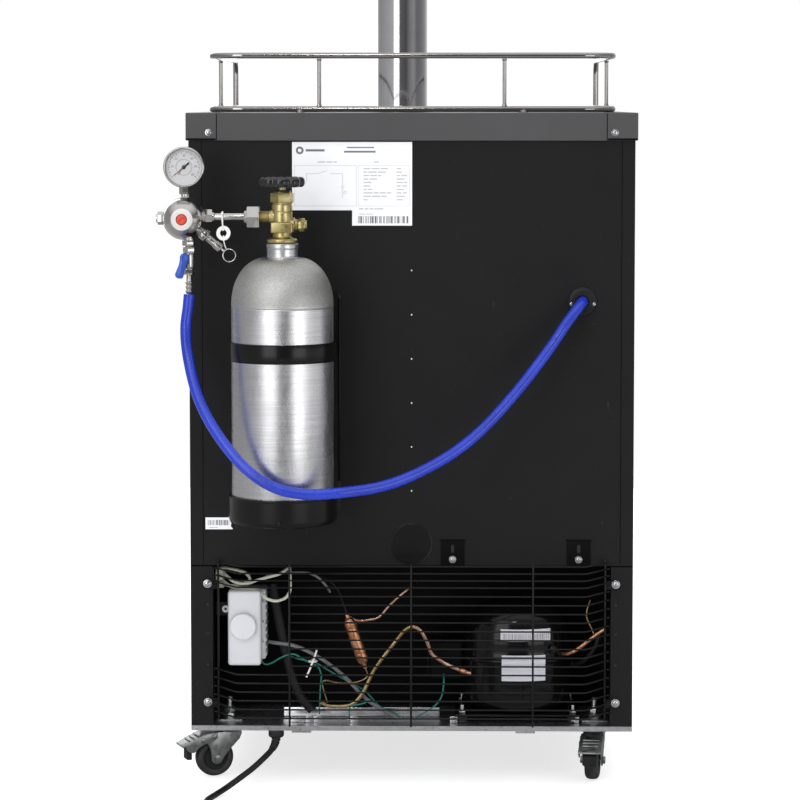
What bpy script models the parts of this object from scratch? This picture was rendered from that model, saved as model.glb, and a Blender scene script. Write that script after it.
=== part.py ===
"""Keg refrigerator on casters: a beer tower and guard rail on top, gas cylinder and regulator on the back.

Units are metres, +Z is up and the floor is z = 0. The door faces -Y and the compressor bay faces +Y.
Most pieces are placed with three distances: side (towards +X from the cabinet's middle plane),
out (towards +Y from the cabinet's rear face) and up (above the floor).
"""

import math

import bmesh
import bpy
from mathutils import Matrix, Vector

# Cabinet
CENTRE_X = -0.0155  # the cabinet's middle plane; the regulator overhangs one side
BACK_Y = 0.2635  # the cabinet's rear face
HALF_WIDTH = 0.2975
DEPTH = 0.585
SHEET = 0.001  # sheet metal thickness
GAP = 0.0003  # between pieces that touch
BASE_BOTTOM = 0.0703
BASE_TOP = 0.0770
WORKTOP = 0.903
WORKTOP_HALF_WIDTH = 0.301
WORKTOP_UNDERSIDE = 0.8855
SKIRT_BOTTOM = 0.866
REAR_STRIP_HALF = 0.2595

# Compressor bay and the keg space above it
BAY_CEILING = 0.2947
BAY_DEPTH = 0.1400
BAY_HALF_WIDTH = 0.268
KEG_HALF_WIDTH = 0.250
KEG_FLOOR = 0.115
KEG_ROOF = 0.848
HUMP_TOP = 0.322
HUMP_FRONT = -0.165
KEG_REAR = -0.045

# Door
DOOR_REAR = -0.6003
DOOR_FRONT = -0.641
DOOR_BOTTOM = 0.084
DOOR_TOP = 0.862
HINGE_SIDE = 0.2875
HINGE_OUT = -0.618
HANDLE_SIDE = -0.262

# Guard rail
RAIL_RADIUS = 0.004
RAIL_HALF_WIDTH = 0.270
RAIL_REAR = -0.015
RAIL_FRONT = -0.520
RAIL_LOW = 0.9078
RAIL_HIGH = 0.9789

# Beer tower and faucet
TOWER_SIDE = 0.0178
TOWER_OUT = -0.345
TOWER_RADIUS = 0.036
TOWER_TOP = 1.240
SHANK_UP = 1.190
FAUCET_PIVOT_OUT = -0.427
FAUCET_PIVOT_UP = 1.200

# Drip tray
TRAY_OUT = -0.4665
TRAY_HALF_SIDE = 0.096
TRAY_HALF_OUT = 0.061

# Rear grille: these rows stop short, so that the thermostat knob can be reached
KNOB_ROWS = range(4, 13)

# Gas cylinder and its valve
TANK_SIDE = 0.168
TANK_OUT = 0.088
TANK_RADIUS = 0.0667
TANK_BOTTOM = 0.3700
TANK_NECK = 0.7330
VALVE_PORT_UP = 0.7679

# Regulator
REG_SIDE = 0.2950
REG_UP = 0.7660
GAUGE_UP = 0.8327
GAUGE_RADIUS = 0.0267
NEEDLE_ANGLE = 220.0  # degrees, the needle's rest direction as seen from behind the cabinet
SHUTOFF_SIDE = 0.2900
SHUTOFF_PIVOT_SIDE = 0.2945
SHUTOFF_PIVOT_UP = 0.7150

# Gas hose and its grommet
HOSE_RADIUS = 0.00715
GROMMET_SIDE = -0.2281
GROMMET_UP = 0.6519

# Casters
WHEEL_RADIUS = 0.0262
WHEEL_HALF_WIDTH = 0.0095
CASTER_SIDE = 0.249
CASTER_INSET = 0.048
TRAIL = 0.0225

# Mains cord
CORD_RADIUS = 0.004
GLAND_SIDE = 0.183
GLAND_OUT = -0.004
GLAND_RADIUS = 0.0105
GLAND_HEIGHT = 0.0095
SLEEVE_LENGTH = 0.018
COIL_SIDE = 0.205
COIL_OUT = 0.277
COIL_INNER = 0.032
COIL_OUTER = 0.056
COIL_HEIGHT = 0.016
OUTER_TURN = COIL_OUTER - CORD_RADIUS

COLOURS = {  # name: (colour, roughness, metallic)
    "black_paint": ((0.022, 0.022, 0.024), 0.45, 0.0),
    "grey_top": ((0.10, 0.10, 0.105), 0.40, 0.0),
    "liner_white": ((0.85, 0.86, 0.87), 0.45, 0.0),
    "chrome": ((0.80, 0.80, 0.82), 0.10, 1.0),
    "zinc": ((0.62, 0.63, 0.64), 0.35, 1.0),
    "aluminium": ((0.62, 0.62, 0.63), 0.38, 1.0),
    "brass": ((0.72, 0.58, 0.25), 0.28, 1.0),
    "copper": ((0.70, 0.36, 0.20), 0.30, 1.0),
    "black_rubber": ((0.02, 0.02, 0.02), 0.75, 0.0),
    "black_plastic": ((0.018, 0.018, 0.020), 0.40, 0.0),
    "white_plastic": ((0.88, 0.88, 0.90), 0.40, 0.0),
    "blue_hose": ((0.03, 0.06, 0.55), 0.30, 0.0),
    "blue_plastic": ((0.05, 0.13, 0.50), 0.35, 0.0),
    "red_plastic": ((0.65, 0.10, 0.06), 0.40, 0.0),
}


# Small tools


def at(side, out, up):
    """The world point for distances from the cabinet's middle plane, its rear face and the floor."""
    return Vector((CENTRE_X + side, BACK_Y + out, up))


def material(name):
    found = bpy.data.materials.get(name)
    if found:
        return found
    colour, roughness, metallic = COLOURS[name]
    made = bpy.data.materials.new(name)
    made.use_nodes = True
    made.diffuse_color = (*colour, 1.0)
    shader = made.node_tree.nodes["Principled BSDF"]
    shader.inputs["Base Color"].default_value = (*colour, 1.0)
    shader.inputs["Roughness"].default_value = roughness
    shader.inputs["Metallic"].default_value = metallic
    return made


def make_object(name, bm, finish, location=(0, 0, 0)):
    """An object from a closed bmesh, smooth on its round faces and sharp at its corners."""
    bmesh.ops.recalc_face_normals(bm, faces=bm.faces)
    mesh = bpy.data.meshes.new(name)
    bm.to_mesh(mesh)
    bm.free()
    mesh.materials.append(material(finish))
    mesh.shade_smooth()
    mesh.set_sharp_from_angle(angle=math.radians(32))
    made = bpy.data.objects.new(name, mesh)
    made.location = location
    bpy.context.collection.objects.link(made)
    return made


def turn_to(direction):
    """The rotation that takes +Z to a direction."""
    return Vector((0, 0, 1)).rotation_difference(Vector(direction)).to_matrix().to_4x4()


def block(name, side, out, up, finish, bevel=0.0):
    """A box between two limits along each of side, out and up."""
    low, high = at(side[0], out[0], up[0]), at(side[1], out[1], up[1])
    bm = bmesh.new()
    size = Matrix.Diagonal((*(high - low), 1))
    bmesh.ops.create_cube(bm, size=1.0, matrix=size)
    if bevel:
        bmesh.ops.bevel(bm, geom=bm.edges[:], offset=bevel, segments=2, affect="EDGES", profile=0.6)
    return make_object(name, bm, finish, (low + high) / 2)


def prism(name, outline, axis, span, finish, centre=(0, 0, 0), bevel=0.0):
    """An outline of 2-D points, extruded along X, Y or Z between the two distances of span.

    The points are (y, z), (x, z) or (x, y), measured from centre, which becomes the origin.
    """
    places = {
        "X": lambda u, v, w: (w, u, v),
        "Y": lambda u, v, w: (u, w, v),
        "Z": lambda u, v, w: (u, v, w),
    }[axis]
    bm = bmesh.new()
    face = bm.faces.new([bm.verts.new(places(u, v, span[0])) for u, v in outline])
    shift = Vector(places(0, 0, span[1])) - Vector(places(0, 0, span[0]))
    grown = bmesh.ops.extrude_face_region(bm, geom=[face])["geom"]
    bmesh.ops.translate(bm, verts=[g for g in grown if isinstance(g, bmesh.types.BMVert)], vec=shift)
    if bevel:
        rims = [e for e in bm.edges if len({f.calc_center_median()[:] for f in e.link_faces}) == 2]
        ends = [e for e in rims if abs((e.verts[1].co - e.verts[0].co).dot(shift)) < 1e-9]
        bmesh.ops.bevel(bm, geom=ends, offset=bevel, segments=2, affect="EDGES", profile=0.6)
    return make_object(name, bm, finish, centre)


def turned(name, profile, centre, axis, finish, segments=24):
    """A solid turned about an axis through centre. The profile's points are (radius, along)."""
    bm = bmesh.new()
    points = [bm.verts.new((r, 0, h)) for r, h in profile]
    edges = [bm.edges.new(pair) for pair in zip(points, points[1:])]
    if profile[0][0] > 1e-6 or profile[-1][0] > 1e-6:
        edges.append(bm.edges.new((points[-1], points[0])))
    bmesh.ops.spin(
        bm,
        geom=points + edges,
        axis=(0, 0, 1),
        cent=(0, 0, 0),
        angle=math.tau,
        steps=segments,
        use_merge=True,
    )
    bmesh.ops.remove_doubles(bm, verts=bm.verts, dist=1e-6)
    bmesh.ops.transform(bm, matrix=turn_to(axis), verts=bm.verts)
    return make_object(name, bm, finish, centre)


def rod(name, start, end, radius, finish, segments=16):
    """A round bar between two points."""
    start, end = Vector(start), Vector(end)
    length = (end - start).length
    return turned(
        name, [(0, 0), (radius, 0), (radius, length), (0, length)], start, end - start, finish, segments
    )


def sweep(name, points, radius, finish, sides=8, across=None):
    """A tube of a few sides along a line of points, with flat ends."""
    points = [Vector(p) for p in points]
    steps = [b - a for a, b in zip(points, points[1:])]
    across = Vector(across) if across else steps[0].orthogonal().normalized()
    bm = bmesh.new()
    rings = []
    for i, point in enumerate(points):
        before, after = steps[max(i - 1, 0)].normalized(), steps[min(i, len(steps) - 1)].normalized()
        along = (before + after).normalized()
        across = (across - along * across.dot(along)).normalized()
        other = along.cross(across)
        stretch = 1 / max(along.dot(after), 0.5)
        bend = before.cross(after)
        ring = []
        for k in range(sides):
            angle = math.tau * (k + 0.5) / sides
            spoke = across * math.cos(angle) + other * math.sin(angle)
            if bend.length > 1e-6:
                lean = bend.normalized().cross(along)
                spoke += lean * spoke.dot(lean) * (stretch - 1)
            ring.append(bm.verts.new(point + spoke * radius))
        rings.append(ring)
    for a, b in zip(rings, rings[1:]):
        for k in range(sides):
            bm.faces.new((a[k], a[(k + 1) % sides], b[(k + 1) % sides], b[k]))
    bm.faces.new(rings[0][::-1])
    bm.faces.new(rings[-1])
    return make_object(name, bm, finish)


def smooth_line(points, step):
    """Points a step apart on a Catmull-Rom curve through the given points."""
    points = [Vector(p) for p in points]
    ends = [points[0] * 2 - points[1], *points, points[-1] * 2 - points[-2]]
    fine = []
    for a, b, c, d in zip(ends, ends[1:], ends[2:], ends[3:]):
        for k in range(24):
            t = k / 24
            fine.append(
                0.5
                * (2 * b + (c - a) * t + (2 * a - 5 * b + 4 * c - d) * t**2 + (3 * b - a - 3 * c + d) * t**3)
            )
    fine.append(points[-1])
    total = sum((b - a).length for a, b in zip(fine, fine[1:]))
    count = max(2, round(total / step))
    line, run, target = [fine[0]], 0.0, total / count
    for a, b in zip(fine, fine[1:]):
        run += (b - a).length
        while run >= target - 1e-9 and len(line) < count:
            line.append(b.lerp(a, (run - target) / max((b - a).length, 1e-9)))
            target += total / count
    return [*line, points[-1]]


def cord_tube(name, points, radius, finish, resolution=2):
    """A flexible cord along a line of points, as a bevelled poly curve with filled caps."""
    curve = bpy.data.curves.new(name, "CURVE")
    curve.dimensions = "3D"
    curve.bevel_depth = radius
    curve.bevel_resolution = resolution
    curve.use_fill_caps = True
    spline = curve.splines.new("POLY")
    spline.points.add(len(points) - 1)
    for target, point in zip(spline.points, points):
        target.co = (*point, 1.0)
    curve.materials.append(material(finish))
    made = bpy.data.objects.new(name, curve)
    bpy.context.collection.objects.link(made)
    return made


def combine(target, *tools, operation="UNION"):
    """Join other objects into target, or cut them out of it, and remove them."""
    for tool in tools:
        modifier = target.modifiers.new("combine", "BOOLEAN")
        modifier.operation = operation
        modifier.object = tool
        depsgraph = bpy.context.evaluated_depsgraph_get()
        mesh = bpy.data.meshes.new_from_object(target.evaluated_get(depsgraph))
        target.modifiers.clear()
        target.data = mesh
        bpy.data.objects.remove(tool)
    target.data.name = target.name
    return target


def cut(target, *tools):
    return combine(target, *tools, operation="DIFFERENCE")


def polygon(count, radius, phase=0.0):
    return [
        (radius * math.cos(phase + math.tau * k / count), radius * math.sin(phase + math.tau * k / count))
        for k in range(count)
    ]


def hexagon(across_flats, phase=0.0):
    return polygon(6, across_flats / math.sqrt(3), phase)


def rounded_rectangle(half_u, half_v, radius, steps=4):
    points = []
    for quarter, (u, v) in enumerate(((1, 1), (-1, 1), (-1, -1), (1, -1))):
        for k in range(steps + 1):
            angle = math.pi / 2 * (quarter + k / steps)
            points.append(
                (
                    u * (half_u - radius) + radius * math.cos(angle),
                    v * (half_v - radius) + radius * math.sin(angle),
                )
            )
    return points


def rounded_corner(before, corner, after, radius, steps=6):
    """Points on the arc that rounds a corner between two straight runs at right angles."""
    before, corner, after = Vector(before), Vector(corner), Vector(after)
    back, on = (before - corner).normalized(), (after - corner).normalized()
    centre = corner + (back + on) * radius
    return [
        centre
        - on * radius * math.cos(math.pi / 2 * k / steps)
        - back * radius * math.sin(math.pi / 2 * k / steps)
        for k in range(steps + 1)
    ]


# Cabinet


def side_panel(name, hand):
    """A painted side sheet with its rear flange, which is wider and folded inwards beside the bay."""

    def sheet(label, inner, outer, out, up):
        return block(label, sorted((hand * inner, hand * outer)), out, up, "black_paint")

    inner = HALF_WIDTH - SHEET
    top = WORKTOP_UNDERSIDE - GAP
    panel = sheet(name, inner, HALF_WIDTH, (-DEPTH, 0), (BASE_TOP + GAP, top))
    upper_flange = sheet("upper_flange", 0.2803, inner + 0.0005, (-SHEET, 0), (0.2960, top))
    low = (BASE_TOP + GAP, BAY_CEILING - 0.0007)
    lower_flange = sheet("lower_flange", BAY_HALF_WIDTH, inner + 0.0005, (-SHEET, 0), low)
    fold = sheet("fold", BAY_HALF_WIDTH, BAY_HALF_WIDTH + SHEET, (-0.028, -SHEET / 2), low)
    return combine(panel, upper_flange, combine(lower_flange, fold))


def back_panel():
    panel = block(
        "back_panel", (-0.280, 0.280), (-SHEET, 0), (0.2960, WORKTOP_UNDERSIDE - GAP), "black_paint"
    )
    hole = rod(
        "hose_hole",
        at(GROMMET_SIDE, -0.01, GROMMET_UP),
        at(GROMMET_SIDE, 0.01, GROMMET_UP),
        0.0100,
        "black_paint",
    )
    return cut(panel, hole)


def insulated_liner():
    """The foamed body with its moulded lining: one keg space with a step over the bay."""
    foam_back = -SHEET - GAP
    bay_wall, bay_roof = -BAY_DEPTH - SHEET, 0.2960
    outline = [
        (-DEPTH, BASE_TOP + GAP),
        (bay_wall, BASE_TOP + GAP),
        (bay_wall, bay_roof),
        (foam_back, bay_roof),
        (foam_back, WORKTOP_UNDERSIDE - GAP),
        (-DEPTH, WORKTOP_UNDERSIDE - GAP),
    ]
    half = HALF_WIDTH - SHEET - GAP
    centre = at(0, 0, 0)
    body = prism("insulated_liner", outline, "X", (-half, half), "liner_white", centre)
    keg_space = [
        (-DEPTH - 0.02, KEG_FLOOR),
        (HUMP_FRONT, KEG_FLOOR),
        (HUMP_FRONT, HUMP_TOP),
        (KEG_REAR, HUMP_TOP),
        (KEG_REAR, KEG_ROOF),
        (-DEPTH - 0.02, KEG_ROOF),
    ]
    space = prism("keg_space", keg_space, "X", (-KEG_HALF_WIDTH, KEG_HALF_WIDTH), "liner_white", centre)
    line_hole = rod(
        "line_hole", at(TOWER_SIDE, TOWER_OUT, 0.84), at(TOWER_SIDE, TOWER_OUT, 0.90), 0.022, "liner_white"
    )
    gas_hole = rod(
        "gas_hole",
        at(GROMMET_SIDE, -0.06, GROMMET_UP),
        at(GROMMET_SIDE, 0.01, GROMMET_UP),
        0.0102,
        "liner_white",
    )
    return cut(body, space, line_hole, gas_hole)


def evaporator_plate():
    """The cold plate on the keg space's rear wall, on four spacers."""
    plate = block(
        "evaporator_plate", (-0.190, 0.190), (-0.0610, -0.0560), (0.500, 0.800), "aluminium", bevel=0.001
    )
    for side in (-0.170, 0.170):
        for up in (0.520, 0.780):
            spacer = rod(
                "spacer", at(side, -0.058, up), at(side, KEG_REAR - GAP, up), 0.005, "aluminium", 10
            )
            plate = combine(plate, spacer)
    return plate


def bay_liner():
    """The sheet that lines the compressor bay, with two fixing tabs over the back panel's lower edge."""
    half = HALF_WIDTH - 0.002
    roof_top = BAY_CEILING + SHEET
    wall_back = -BAY_DEPTH + GAP
    wall = block(
        "bay_liner", (-half, half), (wall_back - SHEET, wall_back), (BASE_TOP + GAP, roof_top), "black_paint"
    )
    roof = block(
        "roof", (-half, half), (wall_back - SHEET, -SHEET - GAP), (BAY_CEILING, roof_top), "black_paint"
    )
    lining = combine(wall, roof)
    for side in (-0.055, -0.2247):
        limits = (side - 0.0155, side + 0.0155)
        lip = block("lip", limits, (-0.010, GAP + SHEET), (BAY_CEILING, roof_top), "black_paint")
        tab = block("tab", limits, (GAP, GAP + SHEET), (BAY_CEILING, 0.331), "black_paint")
        lining = combine(lining, combine(lip, tab))
    return lining


def base_plate():
    plate = block("base_plate", (-HALF_WIDTH, HALF_WIDTH), (-DEPTH, 0), (BASE_BOTTOM, BASE_TOP), "zinc")
    for side in (-0.1537, 0.149):
        lug = block("lug", (side - 0.013, side + 0.013), (-0.032, -0.003), (0.0668, 0.0720), "zinc")
        plate = combine(plate, lug)
    return plate


def top_panel():
    """The worktop: a shallow tub, upside down, cut for the rear strip, the drip tray and the beer line."""
    reach = (-DEPTH - 0.003, 0.003)
    panel = block(
        "top_panel",
        (-WORKTOP_HALF_WIDTH, WORKTOP_HALF_WIDTH),
        reach,
        (SKIRT_BOTTOM, WORKTOP),
        "grey_top",
        bevel=0.0015,
    )
    inside = block(
        "inside",
        (-HALF_WIDTH - GAP, HALF_WIDTH + GAP),
        (-DEPTH - GAP, GAP),
        (SKIRT_BOTTOM - 0.01, WORKTOP_UNDERSIDE),
        "grey_top",
    )
    strip_space = block(
        "strip_space",
        (-REAR_STRIP_HALF, REAR_STRIP_HALF),
        (0, 0.01),
        (SKIRT_BOTTOM - 0.01, WORKTOP + 0.01),
        "grey_top",
    )
    tray_hole = prism(
        "tray_hole",
        rounded_rectangle(TRAY_HALF_SIDE + GAP, TRAY_HALF_OUT + GAP, 0.012),
        "Z",
        (-0.03, 0.01),
        "grey_top",
        at(TOWER_SIDE, TRAY_OUT, WORKTOP),
    )
    line_hole = rod(
        "line_hole",
        at(TOWER_SIDE, TOWER_OUT, 0.88),
        at(TOWER_SIDE, TOWER_OUT, 0.91),
        0.028,
        "grey_top",
        24,
    )
    return cut(panel, inside, strip_space, tray_hole, line_hole)


def top_rear_strip():
    half = REAR_STRIP_HALF - GAP
    return block(
        "top_rear_strip",
        (-half, half),
        (GAP, 0.003),
        (SKIRT_BOTTOM, WORKTOP - GAP),
        "grey_top",
        bevel=0.0006,
    )


# Guard rail


def rail_line(up):
    """The U of a rail, open towards the door, seen from above."""
    half, corner = RAIL_HALF_WIDTH, 0.045
    start, rear_left = at(half, RAIL_FRONT, up), at(half, RAIL_REAR, up)
    rear_right, end = at(-half, RAIL_REAR, up), at(-half, RAIL_FRONT, up)
    return [
        start,
        *rounded_corner(start, rear_left, rear_right, corner),
        *rounded_corner(rear_left, rear_right, end, corner),
        end,
    ]


def guard_rail_upper():
    """The upper rail, whose two front ends turn down onto the lower one."""
    line = rail_line(RAIL_HIGH)
    bend = 0.020
    down = Vector((0, 0, RAIL_LOW + RAIL_RADIUS + GAP - RAIL_HIGH))
    first = rounded_corner(line[0] + down, line[0], line[1], bend)
    last = rounded_corner(line[-2], line[-1], line[-1] + down, bend)
    points = [line[0] + down, *first, *line[1:-1], *last, line[-1] + down]
    return sweep("guard_rail_upper", points, RAIL_RADIUS, "chrome")


def guard_rail_lower():
    """The lower rail with its four posts and six small feet."""
    line = rail_line(RAIL_LOW)
    forward = Vector((0, -0.006, 0))
    rail = sweep("guard_rail_lower", [line[0] + forward, *line, line[-1] + forward], RAIL_RADIUS, "chrome")
    top = RAIL_HIGH - RAIL_RADIUS - GAP
    posts = [(0.1235, RAIL_REAR), (-0.1235, RAIL_REAR), (RAIL_HALF_WIDTH, -0.220), (-RAIL_HALF_WIDTH, -0.220)]
    for side, out in posts:
        rail = combine(rail, rod("post", at(side, out, RAIL_LOW), at(side, out, top), 0.0026, "chrome", 6))
    feet = [(s, RAIL_REAR) for s in (0.149, -0.149)] + [
        (s, o) for s in (0.270, -0.270) for o in (-0.12, -0.48)
    ]
    for side, out in feet:
        rail = combine(
            rail, rod("foot", at(side, out, WORKTOP + GAP), at(side, out, RAIL_LOW), 0.0050, "chrome", 6)
        )
    return rail


# Beer tower


def tower_column():
    """The column and its base flange, open inside for the beer line, with a hole for the shank."""
    r, wall, foot = TOWER_RADIUS, 0.0016, WORKTOP + GAP
    height = TOWER_TOP - foot
    profile = [(r, height), (r, 0.004), (0.050, 0.004), (0.050, 0), (r - wall, 0), (r - wall, height)]
    column = turned("tower_column", profile, at(TOWER_SIDE, TOWER_OUT, foot), (0, 0, 1), "chrome", 32)
    hole = rod(
        "shank_hole",
        at(TOWER_SIDE, TOWER_OUT - 0.02, SHANK_UP),
        at(TOWER_SIDE, TOWER_OUT - 0.05, SHANK_UP),
        0.0113,
        "chrome",
    )
    return cut(column, hole)


def tower_cap():
    r = TOWER_RADIUS + 0.001
    skirt = TOWER_RADIUS - 0.0022
    profile = [
        (0, 0.011),
        (r - 0.008, 0.0105),
        (r - 0.002, 0.008),
        (r, 0.005),
        (r, 0),
        (skirt, 0),
        (skirt, -0.012),
        (skirt - 0.002, -0.012),
        (skirt - 0.002, 0.002),
        (0, 0.002),
    ]
    return turned(
        "tower_cap", profile, at(TOWER_SIDE, TOWER_OUT, TOWER_TOP + GAP), (0, 0, 1), "black_plastic", 24
    )


def faucet_body():
    """The faucet and its shank: the shank's flange and lock nut grip the column, the spout bends down."""
    shank_profile = [
        (0, 0.018),
        (0.0110, 0.018),
        (0.0110, 0.006),
        (0.0180, 0.006),
        (0.0180, 0.0006),
        (0.0110, 0.0006),
        (0.0110, -0.008),
        (0.0160, -0.008),
        (0.0160, -0.015),
        (0.0110, -0.015),
        (0.0110, -0.045),
        (0.0040, -0.045),
        (0.0040, -0.010),
        (0, -0.010),
    ]
    face = at(TOWER_SIDE, TOWER_OUT - TOWER_RADIUS, SHANK_UP)
    shank = turned("shank", shank_profile, face, (0, -1, 0), "chrome", 16)
    nut_out = TOWER_OUT - TOWER_RADIUS - 0.0165
    start = at(TOWER_SIDE, nut_out, SHANK_UP)
    profile = [
        (0, 0),
        (0.0165, 0),
        (0.0165, 0.013),
        (0.0115, 0.016),
        (0.0105, 0.030),
        (0.0105, 0.040),
        (0, 0.044),
    ]
    body = turned("faucet_body", profile, start, (0, -1, 0), "chrome", 16)
    neck = rod(
        "neck",
        at(TOWER_SIDE, FAUCET_PIVOT_OUT, SHANK_UP),
        at(TOWER_SIDE, FAUCET_PIVOT_OUT, 1.2035),
        0.0095,
        "chrome",
    )
    bore = rod(
        "bore",
        at(TOWER_SIDE, FAUCET_PIVOT_OUT, 1.1955),
        at(TOWER_SIDE, FAUCET_PIVOT_OUT, 1.21),
        0.0078,
        "chrome",
    )
    spout_points = [
        at(TOWER_SIDE, nut_out - 0.032, SHANK_UP - 0.002),
        at(TOWER_SIDE, nut_out - 0.046, SHANK_UP - 0.012),
        at(TOWER_SIDE, nut_out - 0.058, SHANK_UP - 0.028),
        at(TOWER_SIDE, nut_out - 0.064, SHANK_UP - 0.046),
        at(TOWER_SIDE, nut_out - 0.065, SHANK_UP - 0.072),
    ]
    spout = sweep("spout", smooth_line(spout_points, 0.012), 0.0072, "chrome", sides=10)
    return cut(combine(body, shank, spout, neck), bore)


def faucet_lever():
    """The lever's ball and threaded stem, hinged in the faucet's neck."""
    pivot = at(TOWER_SIDE, FAUCET_PIVOT_OUT, FAUCET_PIVOT_UP)
    profile = [
        (0, -0.0020),
        (0.0030, -0.0016),
        (0.0045, 0.0010),
        (0.0040, 0.0050),
        (0.0032, 0.0100),
        (0.0032, 0.0180),
        (0.0078, 0.0200),
        (0.0078, 0.0240),
        (0.0040, 0.0240),
        (0.0040, 0.0360),
        (0, 0.0360),
    ]
    return turned("faucet_lever", profile, pivot, (0, 0, 1), "chrome", 12)


def tap_handle():
    base = at(TOWER_SIDE, FAUCET_PIVOT_OUT, FAUCET_PIVOT_UP + 0.0245)
    profile = [
        (0, 0.013),
        (0.0044, 0.013),
        (0.0044, 0),
        (0.0090, 0),
        (0.0095, 0.010),
        (0.0105, 0.026),
        (0.0140, 0.050),
        (0.0158, 0.066),
        (0.0150, 0.076),
        (0.0100, 0.083),
        (0, 0.085),
    ]
    return turned("tap_handle", profile, base, (0, 0, 1), "black_plastic", 16)


def drip_tray():
    """A tray let into the worktop, with only its thin rim above it."""
    centre = at(TOWER_SIDE, TRAY_OUT, WORKTOP)
    tub = rounded_rectangle(TRAY_HALF_SIDE, TRAY_HALF_OUT, 0.012)
    tray = prism("drip_tray", tub, "Z", (-0.0145, 0.0008), "black_plastic", centre)
    rim = prism(
        "rim",
        rounded_rectangle(TRAY_HALF_SIDE + 0.005, TRAY_HALF_OUT + 0.005, 0.017),
        "Z",
        (GAP, 0.0014),
        "black_plastic",
        centre,
    )
    well = prism(
        "well",
        rounded_rectangle(TRAY_HALF_SIDE - 0.006, TRAY_HALF_OUT - 0.006, 0.008),
        "Z",
        (-0.0125, 0.01),
        "black_plastic",
        centre,
    )
    ledge = prism(
        "ledge",
        rounded_rectangle(TRAY_HALF_SIDE - 0.003, TRAY_HALF_OUT - 0.003, 0.010),
        "Z",
        (-0.0020, 0.01),
        "black_plastic",
        centre,
    )
    return cut(combine(tray, rim), combine(well, ledge))


def drip_grate():
    centre = at(TOWER_SIDE, TRAY_OUT, WORKTOP)
    grate = prism(
        "drip_grate",
        rounded_rectangle(TRAY_HALF_SIDE - 0.0035, TRAY_HALF_OUT - 0.0035, 0.0095),
        "Z",
        (-0.0017, 0.0003),
        "chrome",
        centre,
    )
    pitch, slots = 0.0165, 5
    for row in range(-slots, slots + 1):
        side = TOWER_SIDE + row * pitch
        slot = block(
            "slot",
            (side - 0.004, side + 0.004),
            (TRAY_OUT - 0.045, TRAY_OUT + 0.045),
            (0.895, 0.910),
            "chrome",
        )
        grate = cut(grate, slot)
    return grate


# Door


def door_shell():
    shell = block(
        "door_shell",
        (-HALF_WIDTH, HALF_WIDTH),
        (DOOR_FRONT, DOOR_REAR),
        (DOOR_BOTTOM, DOOR_TOP),
        "black_paint",
        bevel=0.003,
    )
    for low, high in ((DOOR_TOP - 0.016, DOOR_TOP + 0.01), (DOOR_BOTTOM - 0.01, DOOR_BOTTOM + 0.016)):
        hole = rod(
            "pin_hole",
            at(HINGE_SIDE, HINGE_OUT, low),
            at(HINGE_SIDE, HINGE_OUT, high),
            0.0045,
            "black_paint",
        )
        shell = cut(shell, hole)
    return shell


def door_liner():
    """The moulded inner panel: a flat pan with a raised border inside the gasket."""
    liner = block(
        "door_liner", (-0.262, 0.262), (-0.6000, -0.5900), (0.103, 0.843), "liner_white", bevel=0.003
    )
    pan = block("pan", (-0.235, 0.235), (-0.5960, -0.5800), (0.130, 0.816), "liner_white", bevel=0.003)
    return cut(liner, pan)


def door_gasket():
    ring = block("door_gasket", (-0.278, 0.278), (-0.6000, -DEPTH - GAP), (0.088, 0.858), "black_rubber")
    window = block("window", (-0.264, 0.264), (-0.62, -0.57), (0.101, 0.845), "black_rubber")
    return cut(ring, window)


def door_handle():
    """A bar handle on two posts, on the side away from the hinges."""
    reach = DOOR_FRONT - 0.040
    ends = [at(HANDLE_SIDE, reach, up) for up in (0.520, 0.800)]
    handle = sweep("door_handle", ends, 0.0060, "chrome", sides=12)
    for up in (0.550, 0.770):
        post = rod(
            "post",
            at(HANDLE_SIDE, reach, up),
            at(HANDLE_SIDE, DOOR_FRONT - GAP, up),
            0.0050,
            "chrome",
            segments=12,
        )
        handle = combine(handle, post)
    return handle


def hinge(name, up, hand):
    """A hinge bracket: a leg on the cabinet's front, an arm over or under the door and a pin into it."""
    width = (HINGE_SIDE - 0.0085, HINGE_SIDE + 0.0090)
    leg_span = sorted((up + hand * 0.0028, up - hand * 0.030))
    leg = block(name, width, (-DEPTH - 0.0028, -DEPTH - GAP), leg_span, "zinc")
    arm = block("arm", width, (HINGE_OUT - 0.0105, -DEPTH - 0.0010), sorted((up, up + hand * 0.0025)), "zinc")
    pin = rod(
        "pin",
        at(HINGE_SIDE, HINGE_OUT, up + hand * 0.0012),
        at(HINGE_SIDE, HINGE_OUT, up - hand * 0.0130),
        0.0040,
        "zinc",
        segments=12,
    )
    return combine(leg, arm, pin)


# Compressor bay


def grille_wire(label, points, half, across):
    return sweep(label, points, half * math.sqrt(2), "black_paint", 4, across)


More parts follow.
